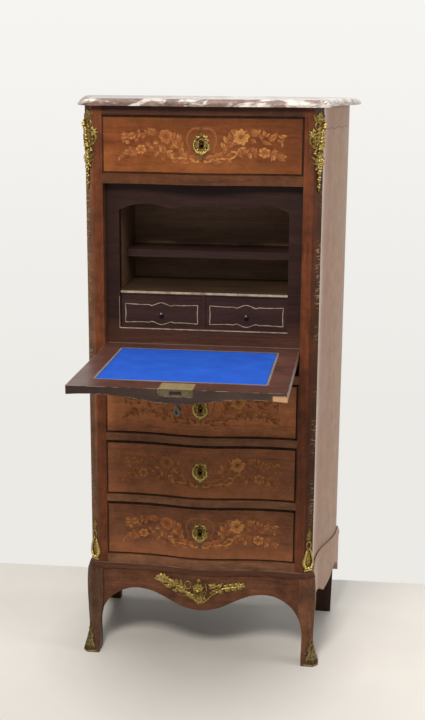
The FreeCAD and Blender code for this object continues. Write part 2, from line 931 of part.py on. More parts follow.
def back_leg():
    """Straight block above, tapered below."""
    x_span = (back_leg_inner_x, back_leg_outer_x)
    y_span = (back_leg_low_y, back_leg_high_y)
    knee_z = stand_height - back_leg_block
    upper = block(x_span, y_span, (knee_z, stand_height))
    sections = []
    for z, inset in ((0, back_leg_taper), (knee_z, 0)):
        corners = [
            vector(back_leg_inner_x + inset, back_leg_low_y + inset, z),
            vector(back_leg_outer_x - inset, back_leg_low_y + inset, z),
            vector(back_leg_outer_x - inset, back_leg_high_y - inset, z),
            vector(back_leg_inner_x + inset, back_leg_high_y - inset, z),
        ]
        sections.append(Part.makePolygon(corners + corners[:1]))
    return upper.fuse(Part.makeLoft(sections, True, True)).removeSplitter()


def back_legs():
    return pair(back_leg())


def front_apron():
    """Shaped board under the front, cut to the legs it joins."""
    half = opening_half_width + apron_reach_into_leg
    low = apron_low - apron_bracket_drop - cut_overrun
    board = front_block(0, half, apron_thickness, (low, stand_height))
    edge = [(x * half, apron_low + z * apron_arch_rise) for x, z in apron_edge_shares]
    start_y = -front_bulge - cut_overrun
    points = [vector(-x, start_y, z) for x, z in reversed(edge[1:])]
    points += [vector(x, start_y, z) for x, z in edge]
    curve = Part.BSplineCurve()
    curve.interpolate(Points=points)
    top = [
        points[-1],
        vector(half + cut_overrun, start_y, points[-1].z),
        vector(half + cut_overrun, start_y, low - cut_overrun),
        vector(-half - cut_overrun, start_y, low - cut_overrun),
        vector(-half - cut_overrun, start_y, points[0].z),
        points[0],
    ]
    edges = [curve.toShape()] + [Part.makeLine(a, b) for a, b in zip(top, top[1:])]
    waste = Part.Face(Part.Wire(edges)).extrude(vector(0, apron_thickness - start_y + cut_overrun, 0))
    leg = front_leg()
    return board.cut(waste).cut(leg).cut(mirrored(leg))


def side_apron():
    """Shaped board under a side, from the front leg over the outer face of the back leg."""
    front_y = leg_top_width / 2
    rear_y = back_leg_high_y
    inner_step = side_apron_overhang - side_apron_thickness
    outline = [
        (side_chord_x(front_y) + inner_step, front_y),
        (far_x, front_y),
        (far_x, rear_y),
        (side_chord_x(rear_y) + inner_step, rear_y),
    ]
    z_span = (side_apron_low, stand_height)
    board = plan_block(base_overhang, side_apron_overhang, 0, z_span).common(drawn_up(outline, *z_span))
    run = rear_y - front_y
    edge = []
    for y_share, z_share in side_apron_edge_shares:
        edge.append((front_y + y_share * run, side_apron_low + z_share * side_apron_rise))
    curve = Part.BSplineCurve()
    curve.interpolate(Points=[vector(0, y, z) for y, z in edge])
    low_z = side_apron_low - 2 * cut_overrun
    start = vector(0, edge[0][0], edge[0][1])
    end = vector(0, edge[-1][0], edge[-1][1])
    loop = [
        end,
        vector(0, end.y + cut_overrun, end.z),
        vector(0, end.y + cut_overrun, low_z),
        vector(0, start.y - cut_overrun, low_z),
        vector(0, start.y - cut_overrun, start.z),
        start,
    ]
    edges = [curve.toShape()] + [Part.makeLine(a, b) for a, b in zip(loop, loop[1:])]
    waste = Part.Face(Part.Wire(edges)).extrude(vector(far_x, 0, 0))
    return board.cut(waste).cut(front_leg()).cut(back_leg())


def base_back_rail():
    y_span = (back_leg_high_y - back_rail_thickness, back_leg_high_y)
    return block(even(back_leg_inner_x), y_span, (stand_height - back_rail_drop, stand_height))


def corner_plate(half_shares, width, height, low_z):
    """Mount lying round the canted corner of the right post."""
    z_span = (low_z, low_z + height)
    skin = plan_block(mount_thickness, mount_thickness, 0, z_span).cut(plan_block(0, 0, 0, z_span))
    along = vector(cant_width, cant_depth, 0).normalize()
    outward = vector(cant_depth, -cant_width, 0).normalize()
    middle = vector(post_half + cant_width / 2, cant_depth / 2, low_z)
    reach = width / 2
    outline = symmetric_outline(half_shares, width, height)
    points = [middle - outward * reach + along * s + vector(0, 0, z) for s, z in outline]
    return skin.common(closed_curve(points).extrude(outward * (width + cut_overrun)))


def upper_corner_mounts():
    low_z = case_top - upper_mount_drop - upper_mount_height
    return pair(corner_plate(upper_mount_outline_shares, upper_mount_width, upper_mount_height, low_z))


def lower_corner_mounts():
    low_z = case_bottom + lower_mount_rise
    return pair(corner_plate(lower_mount_outline_shares, lower_mount_width, lower_mount_height, low_z))


def apron_mount():
    low_z = stand_height - apron_mount_drop - apron_mount_height
    outline = symmetric_outline(apron_mount_outline_shares, apron_mount_width, apron_mount_height)
    start_y = -front_bulge - cut_overrun
    face = closed_curve([vector(x, start_y, low_z + z) for x, z in outline])
    prism = face.extrude(vector(0, cut_overrun - start_y, 0))
    z_span = (low_z, low_z + apron_mount_height)
    return front_skin(0, apron_mount_thickness, z_span).common(prism)


def all_pieces():
    """Every node by name, in the drawing's own place."""
    pieces = {
        "marble_top": marble_top(),
        "carcass_top": carcass_top(),
        "right_side_panel": side_panel(),
        "left_side_panel": mirrored(side_panel()),
        "right_corner_post": corner_post(),
        "left_corner_post": mirrored(corner_post()),
        "back_panel": back_panel(),
        "cross_rails": cross_rails(),
        "fall_rail": fall_rail(),
        "dust_boards": dust_boards(),
        "drawer_guides": drawer_guides(),
        "pivot_sockets": pivot_sockets(),
        "interior_sides": interior_sides(),
        "interior_floor": interior_floor(),
        "interior_back": interior_back(),
        "interior_frame": interior_frame(),
        "interior_shelf": interior_shelf(),
        "drawer_shelf": drawer_shelf(),
        "drawer_divider": drawer_divider(),
        "fall_board": fall_board(),
        "writing_panel": writing_panel(),
        "fall_pivots": fall_pivots(),
        "fall_lock": fall_lock(),
        "fall_escutcheon": fall_escutcheon(),
        "fall_bolt": fall_bolt(),
        "fall_key": fall_key(),
        "small_drawer_right_front": small_drawer_front(),
        "small_drawer_right_box": small_drawer_box(),
        "small_drawer_right_knob": small_drawer_knob(),
        "small_drawer_left_front": mirrored(small_drawer_front()),
        "small_drawer_left_box": mirrored(small_drawer_box()),
        "small_drawer_left_knob": mirrored(small_drawer_knob()),
        "base_board": base_board(),
        "front_apron": front_apron(),
        "right_apron": side_apron(),
        "left_apron": mirrored(side_apron()),
        "base_back_rail": base_back_rail(),
        "front_right_leg": front_leg(),
        "front_left_leg": mirrored(front_leg()),
        "back_legs": back_legs(),
        "foot_sabots": foot_sabots(),
        "upper_corner_mounts": upper_corner_mounts(),
        "lower_corner_mounts": lower_corner_mounts(),
        "apron_mount": apron_mount(),
    }
    for number in drawer_openings:
        pieces[f"drawer_{number}_front"] = drawer_front(number)
        pieces[f"drawer_{number}_box"] = drawer_box(number)
        pieces[f"drawer_{number}_lock"] = drawer_lock(number)
        pieces[f"drawer_{number}_escutcheon"] = escutcheon(-drawer_recess, drawer_centre(number))
    return pieces


os.makedirs("parts", exist_ok=True)
for name, shape in all_pieces().items():
    shape.translate(vector(0, origin_shift, 0))
    shape.exportStep(f"parts/{name}.step")
    print(name, len(shape.Solids), round(shape.Volume), shape.isValid())
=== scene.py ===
# %% [markdown]
# # A fall-front writing cabinet
# The cabinet's solids were drawn first, in a drawing program, and packed as a fixed frame. This lesson loads that
# frame and gives it the looks of the real piece: marble, waxed veneers, flower inlay, gilt mounts and a blue
# writing panel. The solids stay where they are. New pieces are laid on them and ride on the body that carries them.

# %% Load the frame
import math

import bpy
from mathutils import Matrix, Vector
from mathutils.bvhtree import BVHTree


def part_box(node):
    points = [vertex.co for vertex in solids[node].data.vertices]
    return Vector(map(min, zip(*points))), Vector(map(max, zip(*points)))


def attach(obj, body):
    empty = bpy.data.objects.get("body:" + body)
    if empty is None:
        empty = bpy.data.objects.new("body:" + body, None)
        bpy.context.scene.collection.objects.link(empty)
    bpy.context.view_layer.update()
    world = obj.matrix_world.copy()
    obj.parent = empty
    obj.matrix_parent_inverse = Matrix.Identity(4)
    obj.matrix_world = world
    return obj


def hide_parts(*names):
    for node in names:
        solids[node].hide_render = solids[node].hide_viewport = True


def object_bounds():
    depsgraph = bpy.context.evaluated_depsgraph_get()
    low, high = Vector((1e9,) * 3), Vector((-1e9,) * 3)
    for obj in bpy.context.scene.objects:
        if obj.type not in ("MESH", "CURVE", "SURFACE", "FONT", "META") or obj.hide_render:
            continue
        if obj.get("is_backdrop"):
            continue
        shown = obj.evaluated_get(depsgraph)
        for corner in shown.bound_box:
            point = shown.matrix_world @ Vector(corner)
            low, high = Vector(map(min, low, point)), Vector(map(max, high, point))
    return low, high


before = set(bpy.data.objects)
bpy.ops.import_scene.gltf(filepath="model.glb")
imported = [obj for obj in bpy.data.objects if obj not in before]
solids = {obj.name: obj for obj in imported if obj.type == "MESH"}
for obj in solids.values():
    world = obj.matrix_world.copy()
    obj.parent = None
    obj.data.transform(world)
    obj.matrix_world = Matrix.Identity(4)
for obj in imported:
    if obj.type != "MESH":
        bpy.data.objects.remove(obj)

scene = bpy.context.scene
solid_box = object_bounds()

# %% [markdown]
# The photograph fixes the camera. Its place and turn were worked out from the cabinet's straight edges, so here they
# are just written down: where the eye stands, how far it turns left, looks down and leans, and its focal length in
# picture points. A camera could also be aimed by eye, but then it would only be a guess.

# %% Camera
LONG_SIDE_POINTS = 720
FOCAL_POINTS = 1203.3
SENSOR_MM = 36.0
eye = Vector((0.37759, -2.68132, 1.41095))
turn, dip, lean = (math.radians(angle) for angle in (7.384, 13.513, 0.368))
ahead = Vector((-math.sin(turn) * math.cos(dip), math.cos(turn) * math.cos(dip), -math.sin(dip)))
level = Vector((math.cos(turn), math.sin(turn), 0.0))
rise = level.cross(ahead)
right_hand = math.cos(lean) * level + math.sin(lean) * rise
overhead = math.cos(lean) * rise - math.sin(lean) * level
camera = bpy.data.objects.new("camera", bpy.data.cameras.new("camera"))
camera.matrix_world = Matrix.Translation(eye) @ Matrix((right_hand, overhead, -ahead)).transposed().to_4x4()
camera.data.sensor_width = SENSOR_MM
camera.data.lens = FOCAL_POINTS * SENSOR_MM / LONG_SIDE_POINTS
scene.collection.objects.link(camera)
scene.camera = camera
scene.view_settings.view_transform = "Standard"
print("lens", round(camera.data.lens, 2), "mm")

# %% [markdown]
# A finish is a small graph of nodes. Making every node by hand takes three or four lines each time, so one helper
# makes a node, sets or links its sockets and gives it back. The others name the few graphs that come again and again,
# which keeps each finish short enough to read at a glance.


# %% Node helpers
class Nodes:
    """A graph of nodes. Each method adds to it and gives back the socket that carries the result."""

    def __init__(self, tree):
        self.tree = tree

    def node(self, kind, sockets=None, **settings):
        """One node: settings are its own options, sockets are numbers or links by name or number."""
        made = self.tree.nodes.new("ShaderNode" + kind)
        for name, value in settings.items():
            setattr(made, name, value)
        for name, value in (sockets or {}).items():
            if isinstance(value, bpy.types.NodeSocket):
                self.tree.links.new(value, made.inputs[name])
            else:
                made.inputs[name].default_value = value
        return made

    def ramp(self, factor, *stops):
        """Colours along a scale: each stop is a position and a colour."""
        made = self.node("ValToRGB", {"Fac": factor})
        elements = made.color_ramp.elements
        while len(elements) < len(stops):
            elements.new(0.5)
        for element, (position, colour) in zip(elements, stops):
            element.position = position
            element.color = (*colour, 1.0)
        return made.outputs["Color"]

    def span(self, value, low, high, to_low=0.0, to_high=1.0):
        """A number carried from one range to another and held at its ends."""
        sockets = {"Value": value, "From Min": low, "From Max": high, "To Min": to_low, "To Max": to_high}
        return self.node("MapRange", sockets).outputs["Result"]

    def maths(self, operation, *values):
        return self.node("Math", dict(enumerate(values)), operation=operation).outputs[0]

    def vectors(self, operation, *values):
        return self.node("VectorMath", dict(enumerate(values)), operation=operation).outputs

    def product(self, first, *others):
        for other in others:
            first = self.maths("MULTIPLY", first, other)
        return first

    def apart(self, value, other):
        """How far two numbers lie from each other."""
        return self.maths("ABSOLUTE", self.maths("SUBTRACT", value, other))

    def blended(self, factor, under, over, mode="MIX"):
        """Two colours mixed by a factor; a colour is three numbers or a link."""
        under, over = ((*colour, 1.0) if isinstance(colour, tuple) else colour for colour in (under, over))
        return self.node("Mix", {0: factor, 6: under, 7: over}, data_type="RGBA", blend_type=mode).outputs[2]

    def tinted(self, colour, tint):
        return self.blended(1.0, colour, tint, "MULTIPLY")

    def along(self, axis, vector=None):
        """One part of a vector, or of the point's place."""
        return self.node("SeparateXYZ", {"Vector": self.place if vector is None else vector}).outputs[axis]


class Finish(Nodes):
    """A new material: constants go on the shader's own sockets, and place is where a point lies in its solid."""

    def __init__(self, name, **constants):
        self.material = bpy.data.materials.new(name)
        self.material.use_nodes = True
        super().__init__(self.material.node_tree)
        self.shader = self.tree.nodes["Principled BSDF"]
        for socket, value in constants.items():
            self.shader.inputs[socket.replace("_", " ")].default_value = value
        self.place = self.node("TexCoord").outputs["Object"]

    def give(self, **results):
        """Links results to the shader's sockets."""
        for socket, result in results.items():
            self.tree.links.new(result, self.shader.inputs[socket.replace("_", " ")])

    def bumped(self, height, depth, strength):
        made = self.node("Bump", {"Height": height, "Distance": depth, "Strength": strength})
        self.give(Normal=made.outputs["Normal"])

    def stretched(self, scale, turn=(0.0, 0.0, 0.0)):
        """The place, stretched and turned."""
        return self.node("Mapping", {"Vector": self.place, "Scale": scale, "Rotation": turn}).outputs["Vector"]

    def noise(self, scale, detail=4.0, roughness=0.55, distortion=0.0, at=None):
        sockets = {"Vector": self.place if at is None else at, "Scale": scale, "Detail": detail,
                   "Roughness": roughness, "Distortion": distortion}
        return self.node("TexNoise", sockets).outputs["Fac"]


print("node helpers ready")

# %% [markdown]
# The room is bright and plain: a pale floor and a white wall, lit by a lamp high in front and by daylight from all
# round. The floor is one sheet that ends where the wall would stand; a painted shadow darkens it in a patch under the
# cabinet. The wall itself is only the colour of the world as the camera and shiny surfaces see it, so it hides nothing
# when the cabinet is looked at from behind; it is painted paler higher up, as light falls on a wall.

# %% Floor and light
WALL_LOW, WALL_HIGH = (0.836, 0.82, 0.785), (0.925, 0.915, 0.885)
DAYLIGHT, DAYLIGHT_STRENGTH = (1.0, 0.985, 0.96), 0.14
world = bpy.data.worlds.new("room")
scene.world = world
world.use_nodes = True
room = Nodes(world.node_tree)
room.tree.nodes.clear()
daylight = room.node("Background", {"Color": (*DAYLIGHT, 1.0), "Strength": DAYLIGHT_STRENGTH})
upward = room.along("Z", room.node("TexCoord").outputs["Generated"])
# Painted light: the wall's colour is paler higher up, as light falls on a wall.
wall_colour = room.ramp(room.span(upward, -0.27, 0.05), (0.0, WALL_LOW), (1.0, WALL_HIGH))
wall = room.node("Background", {"Color": wall_colour, "Strength": 1.0})
path = room.node("LightPath")
seen = room.maths("MAXIMUM", path.outputs["Is Camera Ray"], path.outputs["Is Glossy Ray"])
seen = room.maths("MAXIMUM", seen, path.outputs["Is Transmission Ray"])
both = room.node("MixShader", {"Fac": seen})
room.tree.links.new(daylight.outputs[0], both.inputs[1])
room.tree.links.new(wall.outputs[0], both.inputs[2])
room.tree.links.new(both.outputs[0], room.node("OutputWorld").inputs["Surface"])


def lamp(name, place, target, size, power, colour):
    """A square lamp turned towards a target."""
    light = bpy.data.lights.new(name, "AREA")
    light.size = size
    light.energy = power
    light.color = colour
    holder = bpy.data.objects.new(name, light)
    holder.location = place
    holder.rotation_euler = (Vector(target) - Vector(place)).to_track_quat("-Z", "Y").to_euler()
    scene.collection.objects.link(holder)


lamp("high_lamp", (-0.22, -2.2, 2.75), (0.0, 0.0, 0.7), size=0.7, power=80.0, colour=(1.0, 0.97, 0.92))
lamp("ceiling_light", (0.0, -0.4, 3.4), (0.0, -0.4, 0.0), size=2.6, power=58.0, colour=(1.0, 0.985, 0.96))
lamp("side_fill", (3.2, -0.2, 1.7), (0.2, 0.1, 0.7), size=1.6, power=34.0, colour=(0.99, 0.99, 1.0))

floor_corners = [(-3.2, 0.4615, 0), (-4.2, -4.5, 0), (4.6, -4.5, 0), (3.4, 0.597, 0)]
floor_mesh = bpy.data.meshes.new("floor")
floor_mesh.from_pydata(floor_corners, [], [(0, 1, 2, 3)])
floor = bpy.data.objects.new("floor", floor_mesh)
scene.collection.objects.link(floor)
pale_floor = Finish("pale_floor", Roughness=0.55)
scuffs = pale_floor.noise(2.2, 8.0, 0.6)
shade = pale_floor.ramp(scuffs, (0.3, (0.8, 0.765, 0.715)), (0.62, (0.86, 0.825, 0.775)))
nearer = pale_floor.along("Y")
shade = pale_floor.blended(pale_floor.span(nearer, 0.0, -0.6), shade, (0.6, 0.575, 0.54))
# Painted shadow: the floor is darkened in a patch round its middle, under the cabinet, deepening the shade there.
from_middle = pale_floor.vectors("DISTANCE", pale_floor.place, (0.0, 0.06, 0.0))["Value"]
shade = pale_floor.blended(pale_floor.span(from_middle, 0.42, 0.12, 0.0, 0.75), shade, (0.46, 0.44, 0.4))
pale_floor.give(Base_Color=shade)
pale_floor.bumped(pale_floor.noise(160.0, 3.0), 0.0004, 0.1)
floor_mesh.materials.append(pale_floor.material)
floor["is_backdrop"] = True
print("floor, wall colour and three lamps set")

# %% [markdown]
# Veneer is a thin leaf of wood. What makes it read as wood is that its grain is drawn out along one direction, with
# broad soft bands, finer streaks, and dark pores, under a wax polish. Stretched noise gives all three from the same
# coordinates, so the figure has a real size in millimetres and never repeats. Edges that hands and feet have rubbed
# show paler: the shader's rounded-edge normal differs from the flat one only near an edge, which finds them.

# %% Veneer finish
EDGE_REACH, EDGE_SAMPLES, CHIP_SCALE = 0.0022, 6, 55.0
STRETCH = {"x": (1.0, 16.0, 16.0), "y": (16.0, 1.0, 16.0), "z": (16.0, 16.0, 1.0)}


def worn_edge(wood, keep):
    """1 on chipped edges, 0 elsewhere. keep is the share of the edge that stays whole."""
    soft = wood.node("Bevel", {"Radius": EDGE_REACH}, samples=EDGE_SAMPLES).outputs["Normal"]
    hard = wood.node("NewGeometry").outputs["Normal"]
    same = wood.vectors("DOT_PRODUCT", soft, hard)["Value"]
    edge = wood.span(same, 0.99, 0.9)
    chips = wood.noise(CHIP_SCALE, 5.0, 0.65)
    return wood.product(edge, wood.span(chips, keep, keep + 0.08))


def grain(wood, along, deep, body, bright, clouds=0.5):
    """The wood's colour, with its streaks and patches for the polish and the bump."""
    drawn = wood.stretched(STRETCH[along])
    bands = wood.noise(5.0, 5.0, 0.6, 0.8, at=drawn)
    streaks = wood.noise(22.0, 4.0, 0.7, at=drawn)
    patches = wood.noise(7.0, 3.0, 0.5)
    figure = wood.maths("MULTIPLY_ADD", bands, 0.55, wood.maths("MULTIPLY", streaks, 0.3))
    figure = wood.maths("MULTIPLY_ADD", patches, 0.3 * clouds, figure)
    colour = wood.ramp(figure, (0.33, deep), (0.5, body), (0.68, bright))
    pores = wood.span(wood.noise(60.0, 2.0, at=drawn), 0.36, 0.46, 0.72, 1.0)
    dark = wood.node("CombineColor", {"Red": pores, "Green": pores, "Blue": pores}).outputs["Color"]
    return wood.tinted(colour, dark), streaks, patches


def veneer(name, deep, body, bright, along, gloss=0.36, wear=None, wear_keep=0.6, clouds=0.5, sheen=0.12, recolourings=()):
    """A waxed veneer with its grain along one axis; the recolourings, signs of time and painted light and shade, change
    the colour in turn.
    """
    wood = Finish(name, Specular_IOR_Level=sheen)
    colour, streaks, patches = grain(wood, along, deep, body, bright, clouds)
    for recolour in recolourings:
        colour = recolour(wood, colour)
    if wear:
        colour = wood.blended(worn_edge(wood, wear_keep), colour, wear)
    wood.give(Base_Color=colour, Roughness=wood.span(patches, 0.3, 0.7, gloss - 0.06, gloss + 0.1))
    wood.bumped(streaks, 0.0003, 0.12)
    return wood


def dress(finish, *names):
    """Gives carried-over solids a finish."""
    for name in names:
        for slot in solids[name].material_slots:
            slot.material = finish.material


print("veneer finish ready")

# %% [markdown]
# Time and painted light make the fronts differ. Each change is a small function that takes the wood's colour and gives
# it back changed, so a finish is a list of them: polish gone golden, wear and dirt where hands reach, and painted light
# and shade: the top drawer darker to the right and at its top, the frieze darker under the marble, and drawer 2 and
# the rails below the fall lighter, offsetting the fall's shadow.


# %% Front veneers
PALE_CHIP, WHOLE = (0.42, 0.27, 0.17), (1.0, 1.0, 1.0)
DRAWERS = (1, 2, 3, 4)
LOWEST_DRAWER, DRAWER_STEP = 0.257, 0.155


def drift(axis, start, end, first, last):
    """Tints the colour from one place to another along an axis."""
    def recolour(wood, colour):
        along = wood.span(wood.along(axis), start, end)
        return wood.tinted(colour, wood.ramp(along, (0.0, first), (1.0, last)))
    return recolour


def handled(dark, light, scale=26.0):
    """Mottles the colour as wear, dirt and old polish do."""
    def recolour(wood, colour):
        blotch = wood.noise(scale, 7.0, 0.68)
        return wood.tinted(colour, wood.ramp(blotch, (0.34, (dark,) * 3), (0.64, (light,) * 3)))
    return recolour


def golden(wood, colour):
    """Patches where the polish has turned golden."""
    patchy = wood.span(wood.noise(11.0, 3.0), 0.45, 0.65, 0.0, 0.5)
    return wood.blended(patchy, colour, (0.26, 0.093, 0.022))


def low_glow(wood, colour):
    """The two lowest drawers are paler along their feet, where their bulge catches the light."""
    height = wood.along("Z")
    share = wood.maths("FRACT", wood.maths("DIVIDE", wood.maths("SUBTRACT", height, LOWEST_DRAWER), DRAWER_STEP))
    glow = wood.product(wood.span(share, 0.3, 0.1), wood.span(height, 0.57, 0.55, 0.0, 0.55))
    return wood.blended(glow, colour, (0.27, 0.098, 0.037))


# Painted light: the top drawer grows darker towards its right, as the light falls from the left.
painted_light_from_left = drift("X", -0.2, 0.2, WHOLE, (0.68, 0.66, 0.66))
# Painted shade: the top drawer darkens towards its top, under the rail and the marble.
painted_shade_at_top = drift("Z", 1.22, 1.3, (0.93, 0.95, 1.0), (0.66, 0.64, 0.68))
# Painted shade: the frieze is darker under the marble's overhang.
painted_shade_under_marble = drift("Z", 1.29, 1.32, WHOLE, (0.78, 0.76, 0.92))
# Painted light: drawer 2, in the fall's shadow, is kept lighter than the drawers below it.
painted_light_under_fall = drift("Z", 0.565, 0.6, (0.62, 0.63, 0.66), WHOLE)
dark_foot = drift("Z", 0.39, 0.42, (0.68, 0.68, 0.71), WHOLE)
# Painted light: the rails below the fall are lighter than those above, offsetting the fall's shadow on them.
painted_light_low_rails = drift("Z", 0.7, 0.75, WHOLE, (0.51, 0.435, 0.383))
dress(veneer("top_drawer_veneer", (0.112, 0.029, 0.0075), (0.208, 0.059, 0.0155), (0.285, 0.088, 0.0245), "x",
             clouds=0.9, recolourings=[golden, painted_light_from_left, painted_shade_at_top, handled(0.8, 1.14)]), "drawer_1_front")
dress(veneer("lower_drawer_veneer", (0.19, 0.066, 0.026), (0.33, 0.117, 0.046), (0.445, 0.165, 0.0635), "x",
             clouds=0.9, recolourings=[painted_light_under_fall, dark_foot, low_glow, handled(0.76, 1.18)]),
      *(f"drawer_{n}_front" for n in DRAWERS[1:]))
dress(veneer("rail_veneer", (0.101, 0.0437, 0.0222), (0.176, 0.0759, 0.0366), (0.242, 0.106, 0.0516), "x",
             recolourings=[painted_light_low_rails, painted_shade_under_marble, handled(0.72, 1.2)]), "cross_rails", "fall_rail")
dress(veneer("apron_veneer", (0.066, 0.024, 0.0115), (0.115, 0.043, 0.02), (0.16, 0.066, 0.031), "x",
             wear=PALE_CHIP, recolourings=[handled(0.66, 1.3)]), "front_apron")
print("front veneers on")

# %% [markdown]
# Years of daylight have faded the sides to a dusty pink brown. The same veneer graph serves, with pale colours,
# upright grain and a duller polish. More changes join the list: sun on what faces sideways, dust on the ledge, a
# torn joint, a rosy streak, and a painted sheen that makes the side's front strip palest.


# %% Faded wood
FADED = ((0.29, 0.172, 0.115), (0.375, 0.24, 0.165), (0.44, 0.29, 0.208))
PAINTED_SHEEN = (0.7, 0.585, 0.475)
ROSY_MIDDLE = 0.19
CRACK_HEIGHT, CRACK_TOOTH = 1.2805, 0.022


def rosy_streak_and_painted_sheen(wood, colour):
    """A rosy streak runs down the middle of the side, and its front strip is painted palest: a painted sheen, where the
    side catches the light at a grazing angle.
    """
    depth = wood.maths("MULTIPLY_ADD", wood.noise(14.0), 0.05, wood.along("Y"))
    rosy = wood.span(wood.apart(depth, ROSY_MIDDLE), 0.045, 0.0, 0.0, 0.7)
    colour = wood.blended(rosy, colour, (0.36, 0.2, 0.155))
    # Painted sheen: the side's front strip is mixed towards a pale colour.
    return wood.blended(wood.span(depth, 0.165, 0.08, 0.0, 0.92), colour, PAINTED_SHEEN)


def cracked(wood, colour):
    """A torn joint zigzags across the top of the right side."""
    depth, height = wood.along("Y"), wood.along("Z")
    teeth = wood.maths("PINGPONG", wood.maths("MULTIPLY_ADD", wood.noise(30.0), 0.03, depth), CRACK_TOOTH)
    away = wood.apart(height, wood.maths("MULTIPLY_ADD", teeth, 0.24, CRACK_HEIGHT))
    right_side = wood.span(wood.along("X"), 0.2, 0.21, 0.0, 0.85)
    torn = wood.product(wood.span(away, 0.0013, 0.0004), wood.span(depth, 0.3, 0.29), right_side)
    return wood.blended(torn, colour, (0.09, 0.05, 0.04))


def facing(wood, axis, low, high):
    """1 where the face looks along an axis, either way."""
    normal = wood.node("TexCoord").outputs["Normal"]
    return wood.span(wood.maths("ABSOLUTE", wood.along(axis, normal)), low, high)


def pale_sides(wood, colour):
    """The sun faded whatever looks to the side, behind the front edge."""
    behind = wood.span(wood.along("Y"), 0.03, 0.045)
    outside = wood.span(wood.maths("ABSOLUTE", wood.along("X")), 0.255, 0.265)
    sunny = wood.product(facing(wood, "X", 0.6, 0.85), behind, outside)
    return wood.blended(sunny, colour, grain(wood, "z", *FADED, 1.0)[0])


def dusty_top(wood, colour):
    """Dust lies on a ledge."""
    patchy = wood.span(wood.noise(40.0), 0.35, 0.6, 0.2, 0.8)
    dust = wood.product(facing(wood, "Z", 0.6, 0.9), patchy)
    return wood.blended(dust, colour, (0.26, 0.2, 0.155))


dress(veneer("faded_veneer", *FADED, "z", gloss=0.48, wear=(0.56, 0.44, 0.36), wear_keep=0.5, clouds=1.0, sheen=0.25,
             recolourings=[rosy_streak_and_painted_sheen, cracked, handled(0.9, 1.07)]),
      "left_side_panel", "right_side_panel", "left_apron", "right_apron")
shady_left = drift("X", -0.2, 0.2, (0.68, 0.8, 0.88), WHOLE)
dress(veneer("leg_veneer", (0.07, 0.028, 0.014), (0.125, 0.05, 0.025), (0.175, 0.076, 0.037), "z", wear=PALE_CHIP,
             recolourings=[handled(0.62, 1.36), shady_left, pale_sides]), "front_left_leg", "front_right_leg")
dress(veneer("ledge_veneer", (0.05, 0.018, 0.0095), (0.085, 0.032, 0.016), (0.125, 0.05, 0.025), "x", wear=PALE_CHIP,
             wear_keep=0.68, recolourings=[pale_sides, dusty_top]), "base_board")
print("bleached sides, legs and ledge on")

# %% [markdown]
# The corner posts show three faces at once: a red strip in front, a slanted face in the middle, and a faded one
# at the side, which carries the side panel's painted sheen. The face's own direction tells which is which, so one
# finish serves both posts. The slanted face is darker on the right post, most towards its side, and along its outer
# edge the veneer has lost flat little chips.

# %% Corner posts
post = Finish("post_veneer", Specular_IOR_Level=0.14)
STRIP = ((0.068, 0.019, 0.0075), (0.122, 0.034, 0.0125), (0.17, 0.052, 0.019))
SLANT = ((0.052, 0.022, 0.0105), (0.108, 0.044, 0.02), (0.18, 0.077, 0.037))
SLANT_EDGE, SLANT_DARK, CHIPPED_WOOD = (0.258, 0.268), (0.035, 0.017, 0.007), (0.36, 0.27, 0.18)
strip, streaks, patches = grain(post, "z", *STRIP)
slant = grain(post, "z", *SLANT, 1.0)[0]
# The right post's slanted face is darker than the left one.
slant = drift("X", -0.1, 0.1, WHOLE, (0.42, 0.27, 0.16))(post, slant)
# The post's side face takes the side panel's colour, painted sheen and all.
side = rosy_streak_and_painted_sheen(post, grain(post, "z", *FADED, 1.0)[0])
colour = handled(0.66, 1.28)(post, post.blended(facing(post, "X", 0.35, 0.5), strip, slant))
# The right post's slanted face grows darker still towards the side.
colour = post.blended(post.span(post.along("X"), 0.256, 0.268, 0.0, 0.5), colour, SLANT_DARK)
away = post.maths("ABSOLUTE", post.along("X"))
flattened = post.stretched((1.0, 1.0, 3.5))
flakes = post.span(post.noise(75.0, 4.0, 0.6, at=flattened), 0.53, 0.6)
in_runs = post.span(post.noise(9.0), 0.44, 0.56, 0.0, 0.75)
colour = post.blended(post.product(flakes, post.span(away, *SLANT_EDGE), in_runs), colour, CHIPPED_WOOD)
sunny = post.product(facing(post, "X", 0.86, 0.94), post.span(away, 0.246, 0.25))
colour = post.blended(sunny, colour, side)
post.give(Base_Color=colour, Roughness=post.span(patches, 0.3, 0.7, 0.3, 0.48))
post.bumped(streaks, 0.0003, 0.14)
dress(post, "left_corner_post", "right_corner_post")
print("corner posts on")

# %% [markdown]
# The fall, the inner frame and the small drawers kept their dark purple brown. The fall's front edge is painted
# darker than its top, most at its left end: painted shade, as the light falls from above. It has lost a chip of veneer
# near its right end, where the bare wood shows. The boxes and boards that nobody polished are plain wood, and the back
# legs are painted very dark: painted shade under the cabinet.


# %% Dark and plain wood
RAGGED, SOFT = (0.004, 0.0, 0.004), 0.0015
CHIP_LOW, CHIP_HIGH = (0.201, -0.37, 0.764), (0.235, -0.35, 0.7785)


def inside(wood, low, high):
    """1 within a box of the solid's own space, with ragged sides."""
    push = wood.node("TexNoise", {"Vector": wood.place, "Scale": 220.0}).outputs["Color"]
    ragged = wood.vectors("MULTIPLY_ADD", push, RAGGED, wood.place)["Vector"]
    edges = []
    for axis, bottom, top in zip("XYZ", low, high):
        value = wood.along(axis, ragged)
        edges += [wood.span(value, bottom - SOFT, bottom + SOFT), wood.span(value, top + SOFT, top - SOFT)]
    return wood.product(*edges)


def fall_edge_shade_and_chip(wood, colour):
    """The fall's front edge is painted dark, most at its left end, as painted shade from light falling from above; it
    has also lost a chip near the right one.
    """
    # Painted shade on the front edge, darkest at the left end.
    dark = drift("X", -0.24, 0.24, (0.3, 0.27, 0.25), (0.66, 0.92, 0.92))(wood, colour)
    colour = wood.blended(facing(wood, "Y", 0.6, 0.9), colour, dark)
    chip = inside(wood, CHIP_LOW, CHIP_HIGH)
    return wood.blended(chip, colour, (0.5, 0.27, 0.14))


